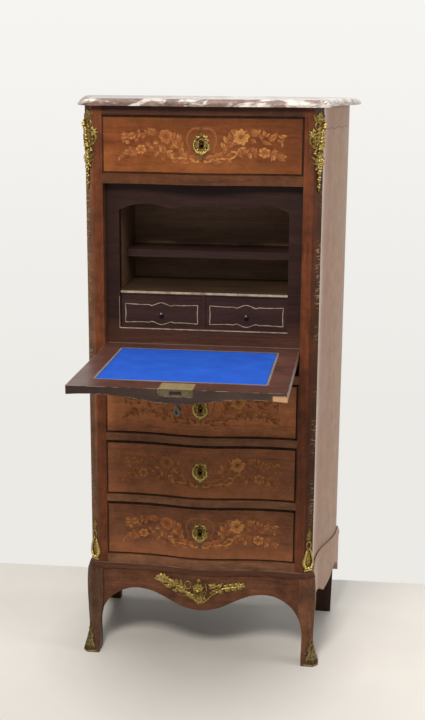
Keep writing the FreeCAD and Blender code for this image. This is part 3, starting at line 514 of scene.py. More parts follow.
dress(veneer("fall_veneer", (0.045, 0.018, 0.012), (0.075, 0.03, 0.022), (0.11, 0.046, 0.034), "x", gloss=0.3,
             wear=(0.3, 0.23, 0.19), wear_keep=0.46, sheen=0.4, recolourings=[handled(0.75, 1.25, 18.0), fall_edge_shade_and_chip]),
      "fall_board")
dress(veneer("inner_frame_wood", (0.042, 0.017, 0.011), (0.07, 0.029, 0.019), (0.105, 0.044, 0.028), "x",
             recolourings=[drift("Z", 0.8, 0.85, WHOLE, (0.39, 0.41, 0.49)),
                   drift("X", -0.21, -0.17, (0.84, 0.79, 0.77), WHOLE)]), "interior_frame")
UNAGED = (
    ("inner_wood", (0.022, 0.0105, 0.009), (0.037, 0.0175, 0.0145), (0.056, 0.0255, 0.021), "x", 0.36,
     "interior_shelf", "drawer_divider", "small_drawer_left_front", "small_drawer_right_front"),
    ("niche_back_wood", (0.155, 0.089, 0.054), (0.275, 0.163, 0.1), (0.4, 0.245, 0.15), "x", 0.5, "interior_back"),
    ("niche_wood", (0.107, 0.055, 0.027), (0.19, 0.1, 0.05), (0.28, 0.15, 0.076), "x", 0.5, "interior_sides"),
    ("niche_floor_wood", (0.024, 0.013, 0.0068), (0.04, 0.022, 0.012), (0.056, 0.032, 0.017), "x", 0.5,
     "drawer_shelf", "interior_floor"),
    # Painted shade: the back legs get a very dark colour for the shade under the cabinet.
    ("back_leg_shade_wood", (0.022, 0.01, 0.006), (0.042, 0.019, 0.011), (0.065, 0.03, 0.018), "z", 0.5, "back_legs"),
    ("bare_wood", (0.26, 0.16, 0.085), (0.36, 0.235, 0.13), (0.44, 0.3, 0.18), "y", 0.6, "dust_boards",
     "drawer_guides", "small_drawer_left_box", "small_drawer_right_box", *(f"drawer_{n}_box" for n in DRAWERS)),
    ("back_board_wood", (0.12, 0.07, 0.038), (0.19, 0.115, 0.065), (0.25, 0.16, 0.095), "z", 0.65,
     "back_panel", "carcass_top", "base_back_rail"),
)
for name, deep, body, bright, along, gloss, *names in UNAGED:
    dress(veneer(name, deep, body, bright, along, gloss), *names)
print("fall, inside and hidden woods on")

# %% [markdown]
# The slab is a red-brown marble broken by white and grey patches, more of them towards the right. Broken stone is
# noise whose coordinates have been pushed about by other noise: wide bands of the result are the red ground, narrow
# bands are the veins. A clear polish lies over it.

# %% Marble
marble = Finish("red_marble", Roughness=0.18, Specular_IOR_Level=0.3)
across = marble.along("X")
flow = marble.stretched((1.0, 1.0, 2.2), (0.3, 0.5, 0.4))
ground = marble.noise(26.0, 6.0, 0.6, 0.6, at=flow)
red = marble.ramp(ground, (0.34, (0.085, 0.048, 0.038)), (0.52, (0.175, 0.105, 0.085)), (0.68, (0.28, 0.195, 0.16)))
broken = marble.noise(10.5, 8.0, 0.62, 1.6, at=flow)
whiter = marble.maths("MULTIPLY_ADD", across, 0.24, broken)
patch = marble.span(whiter, 0.48, 0.56)
white = marble.ramp(marble.noise(60.0, 5.0, at=flow), (0.35, (0.38, 0.33, 0.29)), (0.6, (0.66, 0.61, 0.56)))
stone = marble.blended(patch, red, white)
from_vein = marble.apart(marble.noise(17.0, 5.0, 0.55, 2.4, at=flow), 0.5)
stone = marble.blended(marble.span(from_vein, 0.02, 0.0, 0.0, 0.6), stone, (0.2, 0.17, 0.16))
marble.give(Base_Color=stone)
marble.bumped(broken, 0.0004, 0.05)
dress(marble, "marble_top")
print("marble on")

# %% [markdown]
# Gilt bronze is cast, chased, gilded, and then handled for a century: the high places shine and the hollows keep a
# brown skin. Each mount made below stores how far every point stands off the wood, and the finish uses that height
# to mix bright gold on top with dark patina underneath. Brass and steel get the same treatment without the height.

# %% Metals
def cast_metal(name, hollow, body, crest, shine):
    """Cast metal whose colour follows the height stored on each point."""
    bronze = Finish(name, Metallic=1.0)
    height = bronze.node("Attribute", attribute_name="height").outputs["Fac"]
    mottle = bronze.noise(160.0, 4.0, 0.6)
    lifted = bronze.maths("MULTIPLY_ADD", mottle, 0.6, bronze.maths("MULTIPLY", height, 0.75))
    bronze.give(Base_Color=bronze.ramp(lifted, (0.22, hollow), (0.46, body), (0.96, crest)))
    bronze.give(Roughness=bronze.span(mottle, 0.3, 0.7, shine, shine + 0.2))
    bronze.bumped(bronze.noise(420.0, 3.0), 0.0003, 0.2)
    return bronze


corner_gilt = cast_metal("corner_gilt", (0.075, 0.05, 0.014), (0.19, 0.128, 0.036), (0.48, 0.365, 0.135), 0.38)
gilt = cast_metal("gilt_bronze", (0.03, 0.02, 0.007), (0.2, 0.133, 0.038), (0.58, 0.43, 0.15), 0.3)
worn_bronze = cast_metal("worn_bronze", (0.02, 0.014, 0.006), (0.11, 0.08, 0.034), (0.32, 0.245, 0.115), 0.36)
FRONT_FACE_DARK = (0.4, 0.4, 0.46)


def metal(name, dull, bright, rough):
    """Rolled metal with stains, darker on the faces that look forwards or backwards."""
    rolled = Finish(name, Metallic=1.0)
    stain = rolled.noise(70.0, 6.0, 0.65)
    colour = rolled.ramp(stain, (0.34, dull), (0.64, bright))
    colour = rolled.blended(facing(rolled, "Y", 0.6, 0.9), colour, rolled.tinted(colour, FRONT_FACE_DARK))
    rolled.give(Base_Color=colour, Roughness=rolled.span(stain, 0.3, 0.7, rough + 0.12, rough - 0.05))
    rolled.bumped(rolled.noise(600.0, 2.0), 0.0002, 0.12)
    return rolled


dress(metal("aged_brass", (0.22, 0.17, 0.08), (0.38, 0.305, 0.16), 0.6), "fall_lock", "pivot_sockets")
dress(metal("dark_steel", (0.05, 0.045, 0.04), (0.16, 0.15, 0.135), 0.4), "fall_bolt", "fall_key", "fall_pivots",
      *(f"drawer_{n}_lock" for n in DRAWERS))

ebony = Finish("ebonised_knob", Coat_Weight=0.6, Coat_Roughness=0.08)
rubbed = ebony.noise(120.0, 4.0)
ebony.give(Base_Color=ebony.ramp(rubbed, (0.4, (0.006, 0.005, 0.005)), (0.7, (0.02, 0.015, 0.013))))
ebony.give(Roughness=ebony.span(rubbed, 0.3, 0.7, 0.18, 0.34))
dress(ebony, "small_drawer_left_knob", "small_drawer_right_knob")
print("metals and knobs on")

# %% [markdown]
# Everything laid on the cabinet, whether a leaf of pale wood or a casting, has to touch the curved front. Instead of
# repeating the curve's sums, each point is dropped straight onto the solid that carries it: a ray from outside stops
# at the surface, and the point sits there plus its own height. A tree of the solid's faces makes that quick.


# %% Laying points on the solids
def skin_of(*names):
    """The faces of one or more solids, ready for rays."""
    points, faces = [], []
    for name in names:
        mesh = solids[name].data
        start = len(points)
        points += [vertex.co.copy() for vertex in mesh.vertices]
        faces += [[start + index for index in face.vertices] for face in mesh.polygons]
    return BVHTree.FromPolygons(points, faces)


def dropped(skin, start, outward, height, reach=0.12):
    """The point where a ray against outward meets the skin, lifted by height; the nearest place if it misses."""
    hit = skin.ray_cast(start + outward * reach, -outward, 2 * reach)[0]
    return (skin.find_nearest(start)[0] if hit is None else hit) + outward * height


def piece_of(name, points, faces, finishes, face_finish=None, values=None, smooth=True):
    """A new mesh piece; values are stored per point under a name for the finish to read."""
    mesh = bpy.data.meshes.new(name)
    mesh.from_pydata(points, [], faces)
    for finish in finishes:
        mesh.materials.append(finish.material)
    if face_finish:
        mesh.polygons.foreach_set("material_index", face_finish)
    mesh.polygons.foreach_set("use_smooth", [smooth] * len(mesh.polygons))
    for key, numbers in (values or {}).items():
        mesh.attributes.new(key, "FLOAT", "POINT").data.foreach_set("value", numbers)
    mesh.update()
    made = bpy.data.objects.new(name, mesh)
    scene.collection.objects.link(made)
    return made


print("rays and pieces ready")

# %% [markdown]
# Shapes are drawn flat before they are laid: strips between rows of points, and lines that run smoothly through a few
# knots or bow from end to end. A strip that looks into the page is turned over, so that its thickness goes inwards.


# %% Strips and lines
def grid_faces(start, rows, count):
    """The faces of a grid whose first point is start: rows of count points each."""
    corners = [start + i * count + j for i in range(rows - 1) for j in range(count - 1)]
    return [(a, a + 1, a + count + 1, a + count) for a in corners]


def facing_out(points, faces):
    """The strip's faces, turned over where they look into the page: points are across and up."""
    area = 0.0
    for face in faces:
        for a, b in zip(face, (*face[1:], face[0])):
            area += points[a][0] * points[b][1] - points[b][0] * points[a][1]
    return faces if area > 0 else [face[::-1] for face in faces]


def thickened(piece, thickness, offset=-1.0):
    """Gives a skin its thickness: -1 is inwards, 0 is to both sides."""
    shell = piece.modifiers.new("thickness", "SOLIDIFY")
    shell.thickness = thickness
    shell.offset = offset


def smooth_line(points, steps=6):
    """A smooth line through the points, with its direction at each."""
    knots = [Vector(p) for p in points]
    knots = [2 * knots[0] - knots[1], *knots, 2 * knots[-1] - knots[-2]]
    line = []
    for a, b, c, d in zip(knots, knots[1:], knots[2:], knots[3:]):
        for step in range(steps):
            k = step / steps
            line.append(0.5 * ((2 * b) + (c - a) * k + (2 * a - 5 * b + 4 * c - d) * k ** 2
                               + (3 * b - a - 3 * c + d) * k ** 3))
    line.append(knots[-2])
    ways = [(q - p).normalized() for p, q in zip([line[0], *line[:-1]], [*line[1:], line[-1]])]
    return list(zip(line, ways))


def bowed_line(base, tip, bend, steps):
    """A line from base to tip that bows to its left by bend."""
    base, tip = Vector(base), Vector(tip)
    way = tip - base
    middle = (base + tip) / 2 + Vector((-way.y, way.x)).normalized() * bend
    line = []
    for step in range(steps + 1):
        k = step / steps
        point = base * (1 - k) ** 2 + middle * (2 * k * (1 - k)) + tip * k ** 2
        line.append((point, ((middle - base) * (1 - k) + (tip - middle) * k).normalized()))
    return line


print("strips and lines ready")

# %% [markdown]
# The inlay is cut from thin leaves of paler and redder wood: flowers, split leaves, buds and curling stems, the same
# spray on all four drawers. It could be painted as a texture, but then nothing would have an outline. Here a page
# collects flat shapes in millimetres from the middle of a drawer. A leaf is two halves of different woods along one
# midrib, as the real cutter made them, and its root is scorched darker.


# %% The inlay page
LEVELS, LEVEL_STEP = 97, 0.0000025
LEAF_STEPS, HEART_STEPS = 9, 10
PETAL_FULL = 1.32  # puts a petal's widest place near its tip
# The last of these is no wood: it is the painted shadow of the gap round a drawer front.
PALE, ORANGE, BROWN, HEART, GAP_SHADOW = range(5)  # the woods of the inlay, in the order of its finishes


class InlayPage:
    """Flat shapes on a page, each point with a scorch from 0 to 1, each face with the number of its wood."""

    def __init__(self):
        self.points, self.levels, self.scorch, self.faces, self.woods = [], [], [], [], []
        self.bands = 0

    def band(self, one, other, wood, scorch_one, scorch_other):
        """A strip of faces between two rows of points, on a level of its own so that no two leaves share a plane."""
        start, count = len(self.points), len(one)
        self.points += [*one, *other]
        self.levels += [LEVEL_STEP * (self.bands % LEVELS)] * (2 * count)
        self.bands += 1
        self.scorch += [*scorch_one, *scorch_other]
        self.faces += facing_out(self.points, grid_faces(start, 2, count))
        self.woods += [wood] * (count - 1)

    def leaf(self, base, tip, width, bend=0.0, woods=(PALE, ORANGE), full=0.75):
        """A leaf whose two halves are of different woods."""
        line = bowed_line(base, tip, bend, LEAF_STEPS)
        share = [i / LEAF_STEPS for i in range(LEAF_STEPS + 1)]
        half = [width / 2 * math.sin(math.pi * k ** full) for k in share]
        root = [max(0.0, 1 - 1.6 * k) for k in share]
        rib = [p for p, way in line]
        sides = [Vector((-way.y, way.x)) for p, way in line]
        for sign, wood in zip((1, -1), woods):
            edge = [p + side * h * sign for p, side, h in zip(rib, sides, half)]
            self.band(rib, edge, wood, [0.35 + 0.5 * r for r in root], [0.6 * r for r in root])

    def flower(self, centre, radius, petals, woods, turn=0.0):
        """Petals of slightly different lengths round a dark heart."""
        middle = Vector(centre)
        for i in range(petals):
            angle = turn + 2 * math.pi * i / petals
            way = Vector((math.cos(angle), math.sin(angle)))
            reach = radius * (0.93 + 0.07 * math.cos(2.6 * i))
            self.leaf(middle + way * radius * 0.12, middle + way * reach, radius * 4.6 / petals, radius * 0.07,
                      woods, PETAL_FULL)
        angles = [2 * math.pi * i / HEART_STEPS for i in range(HEART_STEPS + 1)]
        ring = [middle + radius * 0.2 * Vector((math.cos(a), math.sin(a))) for a in angles]
        count = len(ring)
        self.band(ring, [middle] * count, HEART, [0.7] * count, [0.2] * count)

    def stem(self, points, width, wood=BROWN, thin=0.35):
        """A stem along a smooth line that thins to a share of its width."""
        line = smooth_line(points)
        last = len(line) - 1
        rows = ([], [])
        for i, (point, way) in enumerate(line):
            half = width / 2 * (1 - (1 - thin) * i / last)
            side = Vector((-way.y, way.x)) * half
            rows[0].append(point + side)
            rows[1].append(point - side)
        self.band(*rows, wood, [0.25] * (last + 1), [0.25] * (last + 1))

    def sprigs(self, points, every, length, width):
        """Small leaves to both sides along a stem, every few steps of its line."""
        for i, (point, way) in enumerate(smooth_line(points)[every // 2::every]):
            sign = 1 if i % 2 else -1
            lean = Vector((way.x * 0.75 - way.y * sign * 0.66, way.y * 0.75 + way.x * sign * 0.66))
            woods = ((ORANGE, BROWN), (BROWN, PALE), (ORANGE, BROWN))[i % 3]
            self.leaf(point, point + lean * length * (1 - 0.02 * i), width, sign * 1.5, woods)


print("inlay page ready")

# %% [markdown]
# Now the spray itself. Two thin scrolls curl round the keyhole plate, leaves unfold from its foot to both sides, and
# stems carry six flowers and many leaves out to the drawer's ends. The two halves are not mirrored: the left has a
# red flower where the right has a large pale one.

# %% Draw the spray
spray = InlayPage()
SCROLL_WIDTH, FOOT_WIDTH, STEM_WIDTH = 4.4, 6.0, 2.8
SPRIG_EVERY, SPRIG_LENGTH, SPRIG_WIDTH = 4, 12, 5.5
FOOT_FULLER, FULLER = 1.3, 1.35  # how much wider leaves are cut than they are drawn
SCROLL = ((4, 38), (20, 36), (31, 24), (33, 8), (27, -7), (31, -18), (42, -22))
FOOT_STEM = ((6, -36), (22, -33), (40, -28), (58, -30), (74, -24), (78, -15), (66, -13))
FOOT_LEAVES = (((10, -35), (30, -22), 9, 4), ((22, -33), (48, -36), 8, -3), ((38, -29), (50, -14), 9, 3),
               ((52, -30), (70, -36), 7, -3), ((60, -29), (66, -16), 8, 2), ((28, -31), (36, -14), 7, -2))
for sign in (-1, 1):
    spray.stem([(sign * u, v) for u, v in SCROLL], SCROLL_WIDTH)
    spray.stem([(sign * u, v) for u, v in FOOT_STEM], FOOT_WIDTH, PALE, 0.6)
    for base, tip, width, bend in FOOT_LEAVES:
        ends = [(sign * u, v) for u, v in (base, tip)]
        spray.leaf(*ends, width * FOOT_FULLER, sign * bend, (ORANGE, BROWN))
STEMS = (
    ((-44, -24), (-52, -8), (-56, 8), (-70, 16), (-98, 26), (-116, 28)),
    ((-72, -22), (-96, -16), (-122, -14), (-140, -11), (-166, -18), (-188, -28)),
    ((-116, 26), (-140, 24), (-158, 20), (-176, 18), (-184, 10)),
    ((44, -24), (52, -6), (64, 10), (86, 18), (104, 28), (124, 29)),
    ((74, -22), (98, -16), (124, -18), (142, -15), (164, -22), (182, -26)),
    ((120, 28), (142, 22), (160, 18), (172, 24), (182, 18), (180, 8), (172, 8)),
)
for line in STEMS:
    spray.stem(line, STEM_WIDTH)
    spray.sprigs(line, SPRIG_EVERY, SPRIG_LENGTH, SPRIG_WIDTH)
for centre, radius, petals, woods, turn in (
        ((-82, 19), 18, 7, (ORANGE, ORANGE), 0.4), ((-160, 19), 9.5, 5, (PALE, ORANGE), 0.2),
        ((-140, -11), 12.5, 6, (PALE, ORANGE), 0.7), ((88, 19), 20, 9, (PALE, PALE), 0.1),
        ((140, -15), 14, 6, (PALE, ORANGE), 0.3), ((160, 20), 7, 5, (PALE, ORANGE), 0.9)):
    spray.flower(centre, radius, petals, woods, turn)
LEAVES = (
    ((-56, 6), (-46, 24), 8, -2), ((-54, -2), (-66, 6), 7, 2), ((-52, -8), (-42, 8), 7, -2),
    ((-58, 10), (-62, 30), 7, 2),
    ((-104, 27), (-118, 36), 8, 2), ((-106, 27), (-120, 22), 8, -2), ((-112, 28), (-126, 30), 7, 1),
    ((-86, -18), (-96, -4), 8, 2), ((-90, -17), (-84, -4), 7, -2), ((-100, -16), (-108, -28), 7, -2),
    ((-112, -15), (-116, -2), 7, 1), ((-150, -13), (-170, -6), 7, 2), ((-154, -14), (-164, -28), 8, -2),
    ((-162, -17), (-178, -12), 6, 2), ((-172, -21), (-192, -31), 6, 1), ((-166, 19), (-180, 26), 6, 2),
    ((-170, 18), (-186, 12), 6, -2), ((-146, 23), (-144, 34), 6, 1), ((-132, 25), (-136, 12), 6, -1),
    ((60, 6), (50, 22), 8, 2), ((58, 2), (72, 2), 7, -2), ((66, 11), (62, 30), 7, 1), ((54, -4), (44, 8), 7, 2),
    ((106, 28), (120, 37), 8, -2), ((108, 28), (124, 21), 8, 2), ((116, 29), (132, 32), 7, -1),
    ((88, -18), (98, -4), 8, -2), ((92, -17), (86, -4), 7, 2), ((104, -17), (110, -29), 7, 2),
    ((116, -17), (122, -4), 7, -1), ((152, -19), (172, -10), 7, -2), ((154, -20), (164, -32), 8, 2),
    ((164, -22), (184, -20), 6, -2), ((170, -24), (188, -33), 6, -1), ((140, 22), (138, 34), 6, -1),
    ((132, 25), (134, 12), 6, 1), ((150, 20), (154, 8), 6, 1), ((176, 20), (190, 22), 6, 1),
    ((-163, -4), (-151, -28), 8, 3), ((-163, -20), (-179, -17), 7, 2), ((-166, 2), (-177, 8), 7, -1),
    ((-174, 15), (-181, 29), 7, 1), ((-105, 22), (-124, 37), 9, 3), ((-57, 1), (-53, 26), 8, -2),
    ((-54, 0), (-74, -9), 8, -3), ((-81, -17), (-100, -1), 9, -4), ((-76, -16), (-68, -33), 7, 3),
    ((-92, -24), (-86, -36), 6, 1), ((-57, -17), (-35, -28), 10, 4), ((-49, -3), (-40, -15), 7, -2),
    ((-128, 8), (-120, -6), 7, 2), ((-152, 4), (-146, 14), 6, 1), ((-100, 8), (-112, 4), 7, 2),
    ((83, 12), (67, 0), 9, -2), ((80, 24), (63, 34), 10, -3), ((163, -5), (155, -34), 8, 3),
    ((162, -24), (188, -20), 7, 2), ((133, 12), (158, 3), 6, -3), ((80, -16), (99, -3), 8, 2),
    ((108, -12), (117, -3), 7, -2), ((108, 12), (122, 6), 7, 2), ((60, -10), (48, 2), 7, 2),
)
for number, (base, tip, width, bend) in enumerate(LEAVES):
    spray.leaf(base, tip, width * FULLER, bend, ((ORANGE, BROWN), (PALE, ORANGE), (BROWN, ORANGE))[number % 3])
print("spray drawn:", len(spray.points), "points,", len(spray.faces), "faces")

# %% [markdown]
# Each wood of the inlay is a plain fine-grained leaf. The scorch stored on the page darkens it at the root of a leaf,
# where the cutter dipped the wood in hot sand. The spray is then dropped on each drawer front and given a little
# thickness into the wood. A narrow dark band round each drawer is a painted shadow of the gap round its front, widest
# at the top, under the rail.


# %% Lay the inlay on the drawers
def inlay_wood(name, pale, burnt):
    """A leaf of wood that goes from pale to burnt with the stored scorch."""
    leaf = Finish(name, Roughness=0.36, Specular_IOR_Level=0.1)
    drawn = leaf.stretched((4.0, 12.0, 12.0))
    scorch = leaf.node("Attribute", attribute_name="scorch").outputs["Fac"]
    tone = leaf.maths("MULTIPLY_ADD", leaf.noise(24.0, 4.0, at=drawn), 0.7, scorch)
    leaf.give(Base_Color=leaf.ramp(tone, (0.2, pale), (1.1, burnt)))
    leaf.bumped(leaf.noise(60.0, at=drawn), 0.0002, 0.08)
    return leaf


inlay_woods = [inlay_wood("pale_inlay", (0.5, 0.235, 0.068), (0.28, 0.1, 0.028)),
               inlay_wood("orange_inlay", (0.37, 0.142, 0.048), (0.2, 0.062, 0.02)),
               inlay_wood("brown_inlay", (0.29, 0.108, 0.038), (0.16, 0.052, 0.017)),
               inlay_wood("heart_inlay", (0.3, 0.1, 0.027), (0.15, 0.045, 0.014))]
# Painted shadow: the near-black finish of the bands drawn in the gap round each drawer front.
gap_shadow_finish = Finish("painted_gap_shadow", Roughness=0.5, Specular_IOR_Level=0.04)
gap_shadow_tone = gap_shadow_finish.noise(90.0)
gap_shadow_finish.give(Base_Color=gap_shadow_finish.ramp(gap_shadow_tone, (0.35, (0.013, 0.006, 0.0035)), (0.7, (0.032, 0.014, 0.008))))
FORWARD = Vector((0.0, -1.0, 0.0))
INLAY_PROUD, INLAY_DEPTH = 0.00025, 0.0006
# Widths of the painted gap shadow round each drawer front, at its foot, sides and head.
GAP_SHADOW_FOOT, GAP_SHADOW_LEFT, GAP_SHADOW_RIGHT = 0.0026, 0.0015, 0.0034
GAP_SHADOW_HEAD, GAP_SHADOW_HEAD_IN_SHADE = 0.0042, 0.0064
GAP_SHADOW_INSET = Vector((0.0006, 0.0, 0.0006))
GAP_SHADOW_STEPS, GAP_SHADOW_RISE_STEPS = 40, 8
MM = 0.001


def gap_shadow_bands(low, high, head):
    """Four strips of painted gap shadow round a drawer front, as rows of points on its face; head is the height of the
    top one.
    """
    xs = [low.x + (high.x - low.x) * i / GAP_SHADOW_STEPS for i in range(GAP_SHADOW_STEPS + 1)]
    zs = [low.z + (high.z - low.z) * i / GAP_SHADOW_RISE_STEPS for i in range(GAP_SHADOW_RISE_STEPS + 1)]
    yield [(x, low.z) for x in xs], [(x, low.z + GAP_SHADOW_FOOT) for x in xs]
    yield [(x, high.z - head) for x in xs], [(x, high.z) for x in xs]
    yield [(low.x, z) for z in zs], [(low.x + GAP_SHADOW_LEFT, z) for z in zs]
    yield [(high.x - GAP_SHADOW_RIGHT, z) for z in zs], [(high.x, z) for z in zs]


for number in DRAWERS:
    front = f"drawer_{number}_front"
    skin = skin_of(front)
    low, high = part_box(front)
    middle = (low.z + high.z) / 2
    points = [dropped(skin, Vector((p.x * MM, 0.0, middle + p.y * MM)), FORWARD, INLAY_PROUD + level)
              for p, level in zip(spray.points, spray.levels)]
    faces, woods, scorch = list(spray.faces), list(spray.woods), list(spray.scorch)
    # The painted shadow's top band is wider, most on the lower drawers, as the rail above shades it.
    head = GAP_SHADOW_HEAD if number == 1 else GAP_SHADOW_HEAD_IN_SHADE
    for one, other in gap_shadow_bands(low + GAP_SHADOW_INSET, high - GAP_SHADOW_INSET, head):
        start, count = len(points), len(one)
        points += [dropped(skin, Vector((x, 0.0, z)), FORWARD, INLAY_PROUD) for x, z in [*one, *other]]
        scorch += [0.0] * (2 * count)
        faces += facing_out([(p.x, p.z) for p in points], grid_faces(start, 2, count))
        woods += [GAP_SHADOW] * (count - 1)
    inlay = piece_of(f"drawer_{number}_inlay", points, faces, [*inlay_woods, gap_shadow_finish], woods, {"scorch": scorch},
                     smooth=False)
    thickened(inlay, INLAY_DEPTH)
    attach(inlay, f"drawer_{number}")
print("inlay on four drawers")

# %% [markdown]
# Castings are drawn the same way, but with height. A page of relief holds rods that swell and taper, lobed leaves
# with a sunk rib, domes and ribbed shells, each as a strip of rows whose ends run into the wood. Modelling each leaf
# by hand would look finer from a hand's breadth away; this gives the whole family of mounts one hand and one scale.


# %% The relief page
ROD_STEPS, FOLD_STEPS, RING_STEPS, RING_ARCH_STEPS = 8, 10, 20, 6
DOME_RINGS, DOME_STEPS = 8, 32
ROUND_BACK = 1.4
LOBE_LENGTH, LOBE_ROWS = 9, 6


class ReliefPage:
    """Raised shapes on a page: points are across, up and out, in millimetres."""

    def __init__(self, rods=(), leaves=(), domes=(), rings=(), fuller=1.0):
        """Rods are thick, thin and points; leaves are base, tip, width, bend and height, all fuller by a factor."""
        self.points, self.faces = [], []
        for thick, thin, *points in rods:
            self.rod(points, thick, thin)
        for base, tip, width, bend, height in leaves:
            self.leaf(base, tip, width * fuller, bend, height)
        for dome in domes:
            self.dome(*dome)
        for ring in rings:
            self.ring(*ring)

    def rows(self, rows):
        start, count = len(self.points), len(rows[0])
        for row in rows:
            self.points += row
        self.faces += facing_out(self.points, grid_faces(start, len(rows), count))

    def rod(self, points, thick, thin):
        """A round-backed rod along a smooth line, from thick to thin, with a chased, knobbly back."""
        line = smooth_line(points)
        last = len(line) - 1
        rows = []
        for i, (point, way) in enumerate(line):
            k = i / last
            radius = (thick + (thin - thick) * k) * min(1.0, 0.6 + 4 * min(k, 1 - k)) * (1 + 0.16 * math.sin(2.2 * i))
            rows.append(self.arch(point, way, radius, ROD_STEPS))
        self.rows(rows)

    def arch(self, point, way, radius, steps):
        """A half circle of points across a line."""
        side = Vector((-way.y, way.x))
        row = []
        for j in range(steps + 1):
            angle = math.pi * j / steps
            spot = Vector(point) + side * radius * math.cos(angle)
            row.append((spot.x, spot.y, ROUND_BACK * radius * math.sin(angle)))
        return row

    def leaf(self, base, tip, width, bend, height):
        """A leaf with pointed lobes that lifts towards its tip, with a sunk rib and raised folds."""
        lobes = max(2, round((Vector(tip) - Vector(base)).length / LOBE_LENGTH))
        steps = LOBE_ROWS * lobes
        rows = []
        for i, (point, way) in enumerate(bowed_line(base, tip, bend, steps)):
            k = i / steps
            swell = math.sin(math.pi * min(1.0, k ** 0.7 * 0.97 + 0.03))
            lobe = 0.68 + 0.44 * ((lobes * k) % 1.0) ** 0.8
            half = width / 2 * swell * lobe + 0.3
            lift = height * (0.55 + 0.5 * k) * (0.35 + 0.65 * swell)
            side = Vector((-way.y, way.x))
            row = []
            for j in range(FOLD_STEPS + 1):
                s = -1 + 2 * j / FOLD_STEPS
                fold = (1 - s * s) ** 0.5 * (0.78 - 0.22 * math.cos(2 * math.pi * s))
                ridge = 0.15 * math.cos(2 * math.pi * lobes * k + 3 * abs(s)) * (1 - abs(s))
                spot = point + side * half * s
                row.append((spot.x, spot.y, lift * (fold + ridge * min(1.0, 4 * (1 - abs(s))))))
            rows.append(row)
        self.rows(rows)

    def dome(self, centre, wide, tall, height, ribs=0):
        """A boss, ribbed like a shell where ribs is given."""
        rows = []
        for i in range(DOME_RINGS + 1):
            k = i / DOME_RINGS
            row = []
            for j in range(DOME_STEPS + 1):
                angle = 2 * math.pi * j / DOME_STEPS
                rib = 1 + 0.14 * math.cos(ribs * angle) * (k > 0) if ribs else 1
                u, v = wide * k * math.cos(angle) * rib, tall * k * math.sin(angle) * rib
                lift = height * math.sqrt(max(0.0, 1 - k * k)) * (rib if k < 1 else 1)
                row.append((centre[0] + u, centre[1] + v, lift))
            rows.append(row)
        self.rows(rows)

    def ring(self, centre, wide, tall, radius):
        """A round-backed oval ring."""
        rows = []
        for i in range(RING_STEPS + 1):
            angle = 2 * math.pi * i / RING_STEPS
            point = (centre[0] + wide * math.cos(angle), centre[1] + tall * math.sin(angle))
            way = Vector((-math.sin(angle) * wide, math.cos(angle) * tall)).normalized()
            rows.append(self.arch(point, way, radius, RING_ARCH_STEPS))
        self.rows(rows)


print("relief page ready")

# %% [markdown]
# A page is cast by dropping its points on the wood, each at its own height, and by keeping that height for the finish.
# Strokes can be mirrored on the page. A whole page can be mirrored too, for the left corner: then its faces turn over.


# %% Casting a page
def mirrored(strokes):
    """Each stroke and its mirror image across the page's middle."""
    def turned(part):
        return (-part[0], part[1]) if isinstance(part, tuple) else part
    both = []
    for stroke in strokes:
        both.append(stroke)
        flipped = [turned(part) for part in stroke]
        if isinstance(stroke[0], tuple) and len(stroke) == 5:
            flipped[3] = -flipped[3]
        both.append(tuple(flipped))
    return both


DARK_SKIN = 0.9  # millimetres over the wood that the brown skin reaches
SINK = 0.3  # millimetres that a casting lies in the wood
CASTING_WALL, CAST_REACH = 0.0006, 0.03


def cast(page, skin, origin, across, up, outward, crest):
    """Drops a page's points on a skin; gives points, faces and heights, which reach 1 at the crest."""
    points = [dropped(skin, origin + across * (u * MM) + up * (v * MM), outward, (w - SINK) * MM, CAST_REACH)
              for u, v, w in page.points]
    left_handed = across.cross(up).dot(outward) < 0
    faces = [face[::-1] if left_handed else face for face in page.faces]
    return points, faces, [min(1.0, (w - DARK_SKIN) / crest) for u, v, w in page.points]


def mount(name, body, node_name, *castings, finish=gilt):
    """One piece made of castings, which stands for a plain solid."""
    points, faces, heights = [], [], []
    for some_points, some_faces, some_heights in castings:
        faces += [tuple(len(points) + i for i in face) for face in some_faces]
        points += some_points
        heights += some_heights
    made = piece_of(name, points, faces, [finish], None, {"height": heights})
    thickened(made, CASTING_WALL)
    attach(made, body)
    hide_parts(node_name)


print("casting ready")

# %% [markdown]
# The keyhole plates are openwork: a ring round the keyhole, two leafy scrolls that frame it, a flame on top and a
# drop below. One page serves the four drawers and the fall, whose plate faces down while the fall is open.

